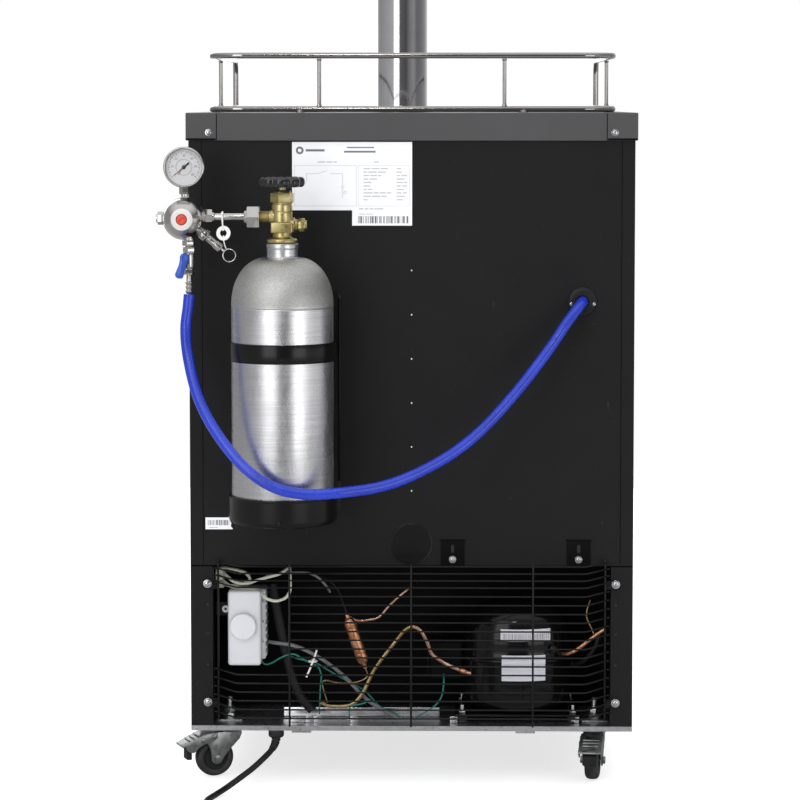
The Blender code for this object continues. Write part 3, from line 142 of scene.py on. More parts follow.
class Look(Nodes):
    """A Principled material with a few short ways to add noise to its colour, roughness and surface."""

    def __init__(self, name, colour, roughness, metallic=0.0, **inputs):
        self.material = bpy.data.materials.new(name)
        self.material.use_nodes = True
        super().__init__(self.material.node_tree)
        self.shader = self.tree.nodes["Principled BSDF"]
        self.colour = colour
        self.material.diffuse_color = (*colour, 1)
        self.shader.inputs["Base Color"].default_value = (*colour, 1)
        self.shader.inputs["Roughness"].default_value = roughness
        self.shader.inputs["Metallic"].default_value = metallic
        for key, value in inputs.items():
            self.shader.inputs[key.replace("_", " ")].default_value = value
        self.place = self.tree.nodes.new("ShaderNodeTexCoord").outputs["Object"]
        self.normal = None

    def noise(self, size, detail=3.0, stretch=(1, 1, 1), rough=0.55):
        """Noise whose lumps are about size metres across, drawn out by stretch along each axis."""
        mapping = self.node("ShaderNodeMapping")
        mapping.inputs["Scale"].default_value = [1 / (size * s) for s in stretch]
        self.link(self.place, mapping.inputs["Vector"])
        noise = self.node("ShaderNodeTexNoise")
        noise.inputs["Scale"].default_value = 1.0
        noise.inputs["Detail"].default_value = detail
        noise.inputs["Roughness"].default_value = rough
        self.link(mapping.outputs["Vector"], noise.inputs["Vector"])
        return noise.outputs["Fac"]

    def colours(self, source, dark, light, start=0.3, end=0.7):
        """Base colour between two colours, by a source."""
        colour = self.mixed((*dark, 1), (*light, 1), self.ranged(source, 0, 1, start, end))
        return self.link(colour, self.shader.inputs["Base Color"])

    def over(self, source, colour, start, end):
        """Another colour on top of what base colour there is, where the source is high."""
        base = self.shader.inputs["Base Color"]
        under = base.links[0].from_socket if base.is_linked else base.default_value
        return self.link(self.mixed(under, (*colour, 1), self.ranged(source, 0, 1, start, end)), base)

    def tinted(self, source, amount):
        dark = [c * (1 - amount) for c in self.colour]
        light = [min(c * (1 + amount), 1) for c in self.colour]
        return self.colours(source, dark, light)

    def roughened(self, source, low, high):
        self.link(self.ranged(source, low, high), self.shader.inputs["Roughness"])
        return self

    def bumped(self, source, depth, strength=1.0):
        bump = self.node("ShaderNodeBump")
        bump.inputs["Distance"].default_value = depth
        bump.inputs["Strength"].default_value = strength
        self.link(source, bump.inputs["Height"])
        if self.normal:
            self.link(self.normal, bump.inputs["Normal"])
        self.normal = bump.outputs["Normal"]
        return self.link(self.normal, self.shader.inputs["Normal"])


def painted(name, colour, roughness, speckle=0.0, shine=0.2):
    """Sheet metal paint: a faint orange peel, slow changes of tone, dust and small scuffs."""
    look = Look(name, colour, roughness, Specular_IOR_Level=shine)
    look.tinted(look.noise(0.22, 5), 0.08)
    look.roughened(look.noise(0.05, 6), roughness - 0.04, roughness + 0.05)
    look.bumped(look.noise(0.0016, 2), 0.00003).bumped(look.noise(0.09, 2), 0.00012)
    if speckle:
        dust = tuple(min(c * 5 + 0.02, 1) for c in colour)
        look.over(look.noise(0.0030, 1, (1, 1, 1.6)), dust, 0.86 - speckle, 0.90 - speckle / 2)
        look.over(look.noise(0.011, 6, (1, 1, 3.0)), dust, 0.80 - speckle, 0.95)
    return look.material


def plated(name, colour, roughness, smear=0.03):
    """Bright plated metal with a little haze and fingerprints."""
    look = Look(name, colour, roughness, 1.0)
    look.tinted(look.noise(0.03, 4), 0.05)
    look.roughened(look.noise(0.014, 5), roughness - smear / 2, roughness + smear)
    look.bumped(look.noise(0.004, 2), 0.00001)
    return look.material


def zinc(name, colour=(0.56, 0.57, 0.57), patchy=0.22):
    """Zinc-plated pressed steel: patchy, a little dull, with fine drawing marks."""
    look = Look(name, colour, 0.34, 1.0)
    look.tinted(look.noise(0.012, 5), patchy)
    look.roughened(look.noise(0.006, 5), 0.24, 0.46)
    look.bumped(look.noise(0.0012, 3, (6, 1, 1)), 0.00002).bumped(look.noise(0.012, 3), 0.00008)
    return look.material


def cylinder_metal():
    """The cylinder: turned rings up the wall, which stretch its highlights, and a matte spun shoulder."""
    look = Look("cylinder_metal", (0.66, 0.66, 0.66), 0.27, 1.0)
    parts = look.node("ShaderNodeSeparateXYZ")
    look.link(look.place, parts.inputs[0])
    height = parts.outputs["Z"]
    shoulder = look.ranged(height, 0, 1, 0.6480, 0.6560)
    neck = look.ranged(height, 1, 0, 0.7120, 0.7150)
    spun = look.node("ShaderNodeMath", operation="MULTIPLY")
    look.link(shoulder, spun.inputs[0])
    look.link(neck, spun.inputs[1])
    spun = spun.outputs[0]
    tangent = look.node("ShaderNodeTangent", direction_type="RADIAL", axis="Z")
    look.link(tangent.outputs["Tangent"], look.shader.inputs["Tangent"])
    look.link(look.ranged(spun, 0.72, 0.25, 0, 1), look.shader.inputs["Anisotropic"])
    rings = look.noise(0.0011, 4, (60, 60, 1))
    look.colours(rings, (0.55, 0.55, 0.56), (0.74, 0.74, 0.75))
    look.over(look.noise(0.009, 7, (1, 1, 1.8)), (0.26, 0.26, 0.27), 0.74, 0.82)
    speckle = look.ranged(look.noise(0.0022, 6), 0, 1, 0.35, 0.65)
    grain = look.mixed((0.46, 0.46, 0.44, 1), (0.60, 0.60, 0.58, 1), speckle)
    base = look.shader.inputs["Base Color"]
    look.link(look.mixed(base.links[0].from_socket, grain, spun), base)
    wall_haze = look.ranged(look.noise(0.020, 6, (1, 1, 3)), 0.22, 0.33)
    look.link(look.mixed(wall_haze, 0.52, spun, "FLOAT"), look.shader.inputs["Roughness"])
    look.bumped(rings, 0.000006).bumped(look.noise(0.0014, 4), 0.000012)
    return look.material


def brass():
    look = Look("valve_brass", (0.64, 0.56, 0.28), 0.34, 1.0)
    look.colours(look.noise(0.010, 6), (0.43, 0.35, 0.13), (0.64, 0.56, 0.29))
    look.roughened(look.noise(0.006, 6), 0.26, 0.44)
    look.bumped(look.noise(0.0010, 3), 0.00002)
    return look.material


def copper(name, dark, light):
    look = Look(name, light, 0.30, 1.0)
    look.colours(look.noise(0.012, 7), dark, light)
    look.roughened(look.noise(0.008, 5), 0.20, 0.48)
    look.bumped(look.noise(0.002, 3), 0.00003)
    return look.material


def moulded(name, colour, roughness, grain=0.00002, tone=0.06, **inputs):
    """Moulded plastic or rubber with a fine grain and a little unevenness."""
    look = Look(name, colour, roughness, **inputs)
    look.tinted(look.noise(0.03, 5), tone)
    look.roughened(look.noise(0.012, 5), roughness - 0.06, roughness + 0.10)
    look.bumped(look.noise(0.0009, 2), grain).bumped(look.noise(0.03, 2), grain * 6)
    return look.material


def hose_vinyl():
    """Glossy blue vinyl with a thin clear coat."""
    look = Look("hose_vinyl", (0.012, 0.034, 0.40), 0.24, Coat_Weight=0.12, Coat_Roughness=0.08)
    look.colours(look.noise(0.05, 4), (0.009, 0.026, 0.34), (0.016, 0.044, 0.48))
    look.roughened(look.noise(0.008, 4), 0.22, 0.34)
    look.bumped(look.noise(0.003, 3), 0.00003)
    return look.material


def tyre_rubber():
    look = Look("tyre_rubber", (0.035, 0.035, 0.038), 0.55)
    look.colours(look.noise(0.012, 6), (0.008, 0.008, 0.009), (0.026, 0.026, 0.028))
    look.over(look.noise(0.004, 6), (0.09, 0.085, 0.08), 0.70, 0.86)
    look.roughened(look.noise(0.006, 4), 0.42, 0.68)
    look.bumped(look.noise(0.0012, 3), 0.00005)
    return look.material


def paper(name, colour):
    look = Look(name, colour, 0.42)
    look.tinted(look.noise(0.04, 4), 0.03)
    look.roughened(look.noise(0.02, 3), 0.36, 0.50)
    look.bumped(look.noise(0.02, 3), 0.00006)
    return look.material


def clear_lens():
    look = Look("gauge_lens", (1.0, 1.0, 1.0), 0.03, Transmission_Weight=1.0, IOR=1.10)
    look.roughened(look.noise(0.01, 4), 0.01, 0.05)
    return look.material


def make_looks():
    return {
        "paint": painted("cabinet_paint", (0.0080, 0.0080, 0.0088), 0.46, speckle=0.10),
        "cap": painted("top_paint", (0.066, 0.066, 0.068), 0.42, shine=0.35),
        # Darker than the cabinet paint. In the recessed bay the extra darkness is painted shade; on the
        # seams, the tabs and the compressor's cover it is just dark paint.
        "bay": painted("bay_shade_and_seam_paint", (0.0030, 0.0030, 0.0034), 0.55, shine=0.07),
        "wire": painted("wire_paint", (0.0050, 0.0050, 0.0055), 0.30, shine=0.3),
        "bracket": painted("bracket_paint", (0.0040, 0.0040, 0.0044), 0.22, shine=0.3),
        "can": painted("compressor_enamel", (0.0030, 0.0030, 0.0034), 0.10, shine=0.30),
        "chrome": plated("chrome_plate", (0.71, 0.705, 0.71), 0.08),
        # The rails' plating is a darker, browner copy of the chrome: its darkness is painted shade standing
        # for the dark reflections along the rails
        "rail": plated("rail_plate_painted_shade", (0.40, 0.385, 0.375), 0.12),
        "nickel": plated("nickel_plate", (0.60, 0.585, 0.565), 0.17, 0.07),
        "steel": plated("screw_steel", (0.72, 0.72, 0.74), 0.22, 0.08), "zinc": zinc("zinc_steel"),
        "strip": zinc("base_zinc", (0.64, 0.64, 0.66), 0.10),
        "fork": zinc("caster_zinc", (0.34, 0.35, 0.345), 0.26), "cylinder": cylinder_metal(),
        "plate": plated("evaporator_sheet", (0.70, 0.70, 0.71), 0.34, 0.08), "brass": brass(),
        "copper": copper("copper_pipe", (0.40, 0.16, 0.07), (0.85, 0.45, 0.26)),
        # A lighter copy of the copper: its extra brightness is a painted highlight on the upper capillary and
        # on the pipe onward
        "highlit_copper": copper("highlit_copper_pipe", (0.52, 0.26, 0.15), (0.94, 0.62, 0.45)),
        "old_brass": copper("tarnished_pipe", (0.28, 0.19, 0.07), (0.62, 0.48, 0.24)),
        "liner": moulded("liner_plastic", (0.80, 0.81, 0.82), 0.36, 0.000006, tone=0.02),
        "white": moulded("white_plastic", (0.64, 0.65, 0.68), 0.42, tone=0.03),
        "ivory": moulded("ivory_sleeve", (0.60, 0.62, 0.50), 0.45, tone=0.14),
        "white_tie": moulded("white_nylon", (0.78, 0.78, 0.76), 0.40, tone=0.04),
        "black": moulded("black_plastic", (0.012, 0.012, 0.013), 0.20, tone=0.10, Coat_Weight=0.3),
        "dull_black": moulded(
            "dull_plastic", (0.010, 0.010, 0.011), 0.48, tone=0.12, Specular_IOR_Level=0.25
        ),
        "rubber": moulded("soft_rubber", (0.008, 0.008, 0.009), 0.50, 0.00004, tone=0.15),
        "cord": moulded("cord_jacket", (0.007, 0.007, 0.008), 0.24, 0.00003, tone=0.12),
        "tyre": tyre_rubber(), "hose": hose_vinyl(),
        "blue": moulded("blue_lever", (0.018, 0.075, 0.42), 0.26, tone=0.14, Coat_Weight=0.3),
        "red": moulded("red_plastic", (0.62, 0.055, 0.030), 0.36, tone=0.10),
        "green": moulded("green_insulation", (0.005, 0.17, 0.13), 0.40, tone=0.15),
        "grey": moulded("grey_insulation", (0.13, 0.13, 0.14), 0.42, tone=0.15),
        "foam": moulded("white_foam", (0.62, 0.62, 0.58), 0.70, 0.0001, tone=0.12),
        "label": paper("label_paper", (0.86, 0.87, 0.90)),
        "sheet": paper("sticker_paper", (0.52, 0.52, 0.57)), "dial": paper("dial_face", (0.80, 0.80, 0.82)),
        "ink": paper("print_grey", (0.16, 0.16, 0.17)), "faint": paper("print_faint", (0.46, 0.46, 0.48)),
        "tag": moulded("tag_plastic", (0.66, 0.63, 0.62), 0.34, tone=0.05), "lens": clear_lens(),
    }


# Shapes: each is a bmesh in metres


def moved(shape, matrix):
    """The shape moved by a matrix whose translation is in millimetres."""
    placing = matrix.copy()
    placing.translation *= MM
    bmesh.ops.transform(shape, matrix=placing, verts=shape.verts)
    return shape


def turn_to(way):
    return Vector(UP).rotation_difference(Vector(way)).to_matrix().to_4x4()


def eased(points, size, steps=3):
    """An open outline with each corner rounded over the given length, or less on short runs."""
    points = [Vector(p) for p in points]
    line = [points[0]]
    for before, corner, after in zip(points, points[1:], points[2:]):
        back, on = before - corner, after - corner
        reach = min(size, back.length * 0.45, on.length * 0.45)
        if reach < 1e-3 or back.angle(on) > math.radians(172):
            line.append(corner)
            continue
        start, end = corner + back.normalized() * reach, corner + on.normalized() * reach
        for k in range(steps + 1):
            t = k / steps
            line.append(start * (1 - t) ** 2 + corner * 2 * t * (1 - t) + end * t**2)
    return [*line, points[-1]]


def turned(profile, centre, axis=UP, segments=64, soft=0.5, closed=False):
    """A solid turned about an axis. The profile runs in (radius, along); closed makes it a ring."""
    if closed:
        first = (Vector(profile[0]) + Vector(profile[-1])) / 2
        profile = eased([first, *profile, first], soft)[:-1]
    else:
        profile = eased(profile, soft)
    shape = bmesh.new()
    rings = []
    for r, along in profile:
        spots = polygon(segments, r * MM) if r >= 1e-3 else [(0, 0)]
        rings.append([shape.verts.new((*spot, along * MM)) for spot in spots])
    pairs = list(zip(rings, rings[1:]))
    if closed:
        pairs.append((rings[-1], rings[0]))
    for a, b in pairs:
        for k in range(segments):
            j = (k + 1) % segments
            if len(a) == 1 and len(b) == 1:
                continue
            if len(a) == 1:
                shape.faces.new((a[0], b[j], b[k]))
            elif len(b) == 1:
                shape.faces.new((a[k], a[j], b[0]))
            else:
                shape.faces.new((a[k], a[j], b[j], b[k]))
    return moved(shape, Matrix.Translation(centre) @ turn_to(axis))


def rod(start, end, radius, segments=24, soft=0.4):
    start, end = Vector(start), Vector(end)
    length = (end - start).length
    return turned([(0, 0), (radius, 0), (radius, length), (0, length)], start, end - start, segments, soft)


def tube(points, radius, sides=12, closed=False):
    """A round tube along a line. The radius may be a list, one for each point."""
    points = [Vector(p) for p in points]
    count = len(points)
    radii = radius if isinstance(radius, (list, tuple)) else [radius] * count
    shape = bmesh.new()
    across = None
    rings = []
    for i, point in enumerate(points):
        before = points[(i - 1) % count] if closed or i else point
        after = points[(i + 1) % count] if closed or i < count - 1 else point
        along = (after - before).normalized()
        across = along.orthogonal() if across is None else across
        across = (across - along * across.dot(along)).normalized()
        other = along.cross(across)
        ring = []
        for k in range(sides):
            angle = math.tau * k / sides
            spot = point + (across * math.cos(angle) + other * math.sin(angle)) * radii[i]
            ring.append(shape.verts.new(spot * MM))
        rings.append(ring)
    pairs = list(zip(rings, rings[1:]))
    if closed:
        first = rings[0][0].co
        shift = min(range(sides), key=lambda k: (rings[-1][k].co - first).length)
        pairs.append((rings[-1][shift:] + rings[-1][:shift], rings[0]))
    for a, b in pairs:
        for k in range(sides):
            j = (k + 1) % sides
            shape.faces.new((a[k], a[j], b[j], b[k]))
    if not closed:
        shape.faces.new(rings[0][::-1])
        shape.faces.new(rings[-1])
    return shape


def smooth_line(points, step):
    """Points a step apart on a Catmull-Rom curve through the given points."""
    points = [Vector(p) for p in points]
    ends = [points[0] * 2 - points[1], *points, points[-1] * 2 - points[-2]]
    fine = []
    for a, b, c, d in zip(ends, ends[1:], ends[2:], ends[3:]):
        for k in range(24):
            t = k / 24
            curve = 2 * b + (c - a) * t
            curve += (2 * a - 5 * b + 4 * c - d) * t**2
            curve += (3 * b - a - 3 * c + d) * t**3
            fine.append(curve * 0.5)
    fine.append(points[-1])
    total = line_length(fine)
    count = max(2, round(total / step))
    line, run, target = [fine[0]], 0.0, total / count
    for a, b in zip(fine, fine[1:]):
        run += (b - a).length
        while run >= target - 1e-6 and len(line) < count:
            line.append(b.lerp(a, (run - target) / max((b - a).length, 1e-6)))
            target += total / count
    return [*line, points[-1]]


def line_length(points):
    return sum((b - a).length for a, b in zip(points, points[1:]))


def box(side, out, up, bevel=1, segments=3):
    """A box with rounded edges between two limits along side, out and up."""
    low, high = at(min(side), min(out), min(up)), at(max(side), max(out), max(up))
    return block(low, high, bevel, segments)


def block(low, high, bevel, segments=3):
    """A box with rounded edges between two corners."""
    shape = bmesh.new()
    bmesh.ops.create_cube(shape, size=1.0, matrix=Matrix.Diagonal((*((high - low) * MM), 1)))
    if bevel:
        rounded(shape, shape.edges[:], bevel, segments)
    return moved(shape, Matrix.Translation((low + high) / 2))


def rounded(shape, edges, width, segments):
    bmesh.ops.bevel(shape, geom=edges, offset=width * MM, segments=segments, affect="EDGES", profile=0.5)


def prism(outline, thickness, matrix, bevel=0.0, segments=2):
    """An outline in its own X and Y, given a thickness along its own Z, then placed by a matrix."""
    shape = bmesh.new()
    face = shape.faces.new([shape.verts.new((u * MM, v * MM, 0)) for u, v in outline])
    grown = bmesh.ops.extrude_face_region(shape, geom=[face])["geom"]
    top = [g for g in grown if isinstance(g, bmesh.types.BMVert)]
    bmesh.ops.translate(shape, verts=top, vec=(0, 0, thickness * MM))
    bmesh.ops.recalc_face_normals(shape, faces=shape.faces)
    if bevel:
        rims = [e for e in shape.edges if abs(e.verts[0].co.z - e.verts[1].co.z) < thickness * MM / 2]
        rounded(shape, rims, bevel, segments)
    return moved(shape, matrix)


def facing(centre, axis, turn=0.0):
    """A placing matrix whose own Z is the axis."""
    return Matrix.Translation(centre) @ turn_to(axis) @ Matrix.Rotation(turn, 4, "Z")


def from_behind(side, out, up):
    """A placing matrix for what is seen from behind: its X is the viewer's right, its Y is up."""
    return Matrix.Translation(at(side, out, up)) @ Matrix(
        ((-1, 0, 0, 0), (0, 0, 1, 0), (0, 1, 0, 0), (0, 0, 0, 1))
    )


def polar(radius, degrees):
    return radius * math.cos(math.radians(degrees)), radius * math.sin(math.radians(degrees))


def polygon(count, radius, phase=0.0):
    return [
        (radius * math.cos(phase + math.tau * k / count), radius * math.sin(phase + math.tau * k / count))
        for k in range(count)
    ]


def hexagon(across_flats, thickness, matrix, bevel=0.6):
    return prism(polygon(6, across_flats / math.sqrt(3)), thickness, matrix, bevel)


def rounded_rectangle(half_u, half_v, radius, steps=6):
    points = []
    for quarter, (u, v) in enumerate(((1, 1), (-1, 1), (-1, -1), (1, -1))):
        for k in range(steps + 1):
            angle = math.pi / 2 * (quarter + k / steps)
            points.append(
                (
                    u * (half_u - radius) + radius * math.cos(angle),
                    v * (half_v - radius) + radius * math.sin(angle)
                )
            )
    return points


def cut(shape, *tools):
    """The shape with the tools cut out of it, exactly."""
    objects = []
    for item in (shape, *tools):
        bmesh.ops.recalc_face_normals(item, faces=item.faces)
        mesh = bpy.data.meshes.new("cutting")
        item.to_mesh(mesh)
        item.free()
        objects.append(bpy.data.objects.new("cutting", mesh))
        bpy.context.collection.objects.link(objects[-1])
    target = objects[0]
    for tool in objects[1:]:
        modifier = target.modifiers.new("cut", "BOOLEAN")
        modifier.operation = "DIFFERENCE"
        modifier.object = tool
    mesh = bpy.data.meshes.new_from_object(target.evaluated_get(bpy.context.evaluated_depsgraph_get()))
    result = bmesh.new()
    result.from_mesh(mesh)
    for item in objects:
        bpy.data.objects.remove(item)
    bpy.data.meshes.remove(mesh)
    return result


def piece(name, body, parts, replaces=(), placing=None):
    """One object made of (shape or list of shapes, look) parts, on a body, which may stand for CAD nodes."""
    whole, looks = bmesh.new(), []
    for shapes, look in parts:
        if look not in looks:
            looks.append(look)
        for shape in shapes if isinstance(shapes, list) else [shapes]:
            bmesh.ops.recalc_face_normals(shape, faces=shape.faces)
            for face in shape.faces:
                face.material_index = looks.index(look)
            mesh = bpy.data.meshes.new("part")
            shape.to_mesh(mesh)
            shape.free()
            whole.from_mesh(mesh)
            bpy.data.meshes.remove(mesh)
    if placing:
        moved(whole, placing)
    mesh = bpy.data.meshes.new(name)
    whole.to_mesh(mesh)
    whole.free()
    for look in looks:
        mesh.materials.append(LOOKS[look])
    mesh.shade_smooth()
    mesh.set_sharp_from_angle(angle=CREASE)
    made = bpy.data.objects.new(name, mesh)
    bpy.context.collection.objects.link(made)
    return claim(made, body, replaces)


def claim(made, body, replaces=()):
    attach(made, body)
    if replaces:
        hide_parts(*replaces)
    return made


def cord_curve(name, points, radius, look, replaces):
    curve = bpy.data.curves.new(name, "CURVE")
    curve.dimensions = "3D"
    curve.bevel_depth = radius * MM
    curve.bevel_resolution = 5
    curve.use_fill_caps = True
    spline = curve.splines.new("POLY")
    spline.points.add(len(points) - 1)
    for target, point in zip(spline.points, points):
        target.co = (*point, 1.0)
    spline.use_smooth = True
    curve.materials.append(LOOKS[look])
    made = bpy.data.objects.new(name, curve)
    bpy.context.collection.objects.link(made)
    return claim(made, "root", replaces)


def pan_head(centre, axis, radius):
    """A cross-head screw's head."""
    head = turned(
        [(0, 0), (radius, 0), (radius, radius * 0.22), (radius * 0.72, radius * 0.52), (0, radius * 0.62)],
        (0, 0, 0),
        soft=radius * 0.3,
        segments=32,
    )
    arms = []
    for turn in (0.3, 0.3 + math.pi / 2):
        arm = prism(
            [(-radius * 0.52, -radius * 0.10), (radius * 0.52, -radius * 0.10),
             (radius * 0.52, radius * 0.10), (-radius * 0.52, radius * 0.10)],
            radius,
            Matrix.Translation((0, 0, radius * 0.34)) @ Matrix.Rotation(turn, 4, "Z"),
        )
        arms.append(arm)
    return moved(cut(head, *arms), facing(centre, axis))


# Cords


def hose_line():
    """From the shutoff's barb, round in front of the cylinder and up into the back panel."""
    route = [
        (SHUTOFF_SIDE, 88, 666.5),
        (291.5, 88.5, 650),
        (294.5, 92, 620),
        (290, 102, 582),
        (276, 123, 535),
        (252, 145, 493),
        (218, 165, 453),
        (180, 174, 426),
        (138, 174, 415),
        (86, 165, 416),
        (24, 144, 425),
        (-40, 118, 452),
        (-90, 95, 487),
        (-139, 72, 538),
        (-180, 50, 589),
        (-206, 37, 626),
        (-223, 20, 647),
        (GROMMET_SIDE, 7, GROMMET_UP),
    ]
    return [*smooth_line([at(*p) for p in route], 6), at(GROMMET_SIDE, -6, GROMMET_UP)]


CORD_WAY = Vector((0.30, 0.62, -0.85)).normalized()
CORD_BEND = Vector((0.46, 0.68, -0.57)).normalized()
SLEEVE_START = at(183, -4, BASE_BOTTOM - 9.5)
SLEEVE_LENGTH = 18


def step_up(value, centre, half_width):
    t = min(max((value - centre) / (2 * half_width) + 0.5, 0), 1)
    return t * t * (3 - 2 * t)


def coil_point(turns):
    """A point of the coil: in over three turns on the floor, then out again on top of them."""
    inward = step_up(turns, 0.83, 0.14) + step_up(turns, 1.70, 0.14)
    outward = step_up(turns, 3.40, 0.14) + step_up(turns, 4.40, 0.14)
    radius = COIL_RADIUS - COIL_PITCH * (inward - outward)
    up = FLOOR_CORD_UP + 2 * CORD_RADIUS * step_up(turns, 2.55, 0.16)
    angle = math.tau * turns
    return at(COIL_SIDE + radius * math.cos(angle), COIL_OUT + radius * math.sin(angle), up)


def cord_line():
    """From the strain relief down to the floor, along it to the coil, round it and on to the plug."""
    tip = SLEEVE_START + CORD_WAY * SLEEVE_LENGTH
    route = [
        tip + CORD_BEND * 6,
        at(198.5, 21.5, 37.2),
        at(211.5, 36.5, 27.5),
        at(228, 55.5, 18),
        at(245, 75, 9),
        at(259, 100, 4.5),
        at(267, 130, 4.3),
        at(266, 168, 4.3),
        at(259, 210, 4.3),
        at(COIL_SIDE + COIL_RADIUS, COIL_OUT - 30.2, 4.3),
    ]
    line = [tip + CORD_BEND * 0.3, *smooth_line(route, 6)]
    turns, per_turn = 5.5, 40
    line += [coil_point(k / per_turn) for k in range(round(turns * per_turn) + 1)]
    side = COIL_SIDE - COIL_RADIUS
    line += [at(side, COIL_OUT - 10 * k, 12.3 - 0.2 * k) for k in (1, 2, 3)]
    return line


def power_plug():
    """A moulded three-pin plug with a ribbed, tapered tail."""
    side, nose_out, up = COIL_SIDE - COIL_RADIUS, COIL_OUT - 31.2, 11.7
    nose = at(side, nose_out, up)
    profile = [(0, 0), (4.8, 0)]
    for k in range(6):
        along, r = 3 + 3.2 * k, 5.2 + 0.42 * k
        profile += [(r, along), (r, along + 1.6), (r - 0.7, along + 1.8), (r - 0.7, along + 3)]
    profile += [(8, 23), (0, 24)]
    tail = turned(profile, nose, FORWARD, 32, 0.3)
    outline = [
        (-13, -10), (-10, -11.2), (10, -11.2), (13, -10),
        (13, 5), (8, 8.5), (-8, 8.5), (-13, 5),
    ]
    body = prism(outline, 30, Matrix.Translation(nose + Vector((0, -20, 0))) @ UPRIGHT, 1.6, 3)
    grips = [box((side + s * 12.4, side + s * 13.2), (nose_out - 26 - 4 * k, nose_out - 28 - 4 * k),
                 (up - 6, up + 3), 0.3, 2) for s in (-1, 1) for k in range(5)]
    blades = [box((side + s - 0.7, side + s + 0.7), (nose_out - 68, nose_out - 49), (9.5, 16), 0.3)
              for s in (-6.2, 6.2)]
    earth = nose + Vector((0, -49, -6.2))
    pin = turned([(0, 0), (2.4, 0), (2.4, 19), (1.2, 21), (0, 21)], earth, FORWARD, 24)
    parts = [(tail, "cord"), (body, "cord"), (grips, "cord"), (blades, "brass"), (pin, "brass")]
    return piece("mains_plug", "root", parts, ["power_plug"])


def strain_relief():
    """The round boss under the base and its ribbed sleeve."""
    top = at(183, -4, BASE_BOTTOM - 0.3)
    boss = turned([(0, 0), (10.5, 0), (10.5, 7), (8.8, 9.2), (0, 9.2)], top, DOWN, 48, 1)
    tip = SLEEVE_START + CORD_WAY * SLEEVE_LENGTH
    start, first = SLEEVE_START + Vector((0, 0, 3)), SLEEVE_START - Vector((0, 0, 6))
    second = tip - CORD_BEND * 7
    line, radii, steps = [], [], 40
    for k in range(steps + 1):
        t = k / steps
        bent = start * (1 - t) ** 3 + first * (3 * t * (1 - t) ** 2)
        bent += second * (3 * t * t * (1 - t)) + tip * t**3
        line.append(bent)
        groove = 0.9 if 6 < k < 36 and k % 8 in (5, 6, 7) else 0.0
        radii.append(6.6 - 1.9 * t - groove)
    sleeve = tube(line, radii, 32)
    return piece(
        "cord_relief", "root", [(boss, "rubber"), (sleeve, "rubber")], ["strain_relief"]
    )


def make_cords():
    hose_points = [point * MM for point in hose_line()]
    hose = cord_curve("blue_gas_hose", hose_points, HOSE_RADIUS, "hose", ["gas_hose"])
    cord_points = [point * MM for point in cord_line()]
    cord = cord_curve(
        "mains_cord", cord_points, CORD_RADIUS, "cord", ["power_cord", "cord_coil"]
    )
    plug, relief = power_plug(), strain_relief()


# Cabinet details


def repaint(looks):
    """Finishes for the CAD pieces that stay as they are."""
    for look, names in looks.items():
        for name in names:
            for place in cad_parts[name].material_slots:
                place.material = LOOKS[look]


def screws():
    """The bright cross-head screws of the cap, the grille's lugs and the bay liner's tabs."""
    places = [(s * 270, 3.1, 876.7, 3.6) for s in (-1, 1)]
    places += [(s * 274.5, 4.3, up, 4.2) for s in (-1, 1) for up in (271.2, 109.9)]
    places += [(side, 1.4, 304.4, 3.6) for side in (-55.2, -224.4)]
    heads, washers = [], []
    for side, out, up, radius in places:
        heads.append(pan_head(at(side, out + 0.6, up), BACK, radius))
        rim = radius * 1.35
        washers.append(turned([(0, 0), (rim, 0), (rim, 0.6), (0, 0.6)], at(side, out, up), BACK, 32, 0.2))
    piece("cabinet_screws", "root", [(heads, "steel"), (washers, "steel")])


def column_holes():
    """Spare fixing holes down both rear columns, with pressed rims and a thin dark disc of painted shade in
    each hole.
    """
    rims, hole_shades = [], []
    for side in (-274.7, 274.7):
        for up in (242.2, 202.6, 160.3):
            centre = at(side, 0, up)
            ring = [(2, 0.1), (3, 0.1), (3, 0.4), (2, 0.5)]
            rims.append(turned(ring, centre, BACK, 24, 0.1, closed=True))
            # A thin dark disc in the hole: painted shade
            hole_shades.append(turned([(0, 0.1), (1.9, 0.1), (1.9, 0.2), (0, 0.2)], centre, BACK, 24, 0))
    piece("column_holes", "root", [(rims, "paint"), (hole_shades, "rubber")])


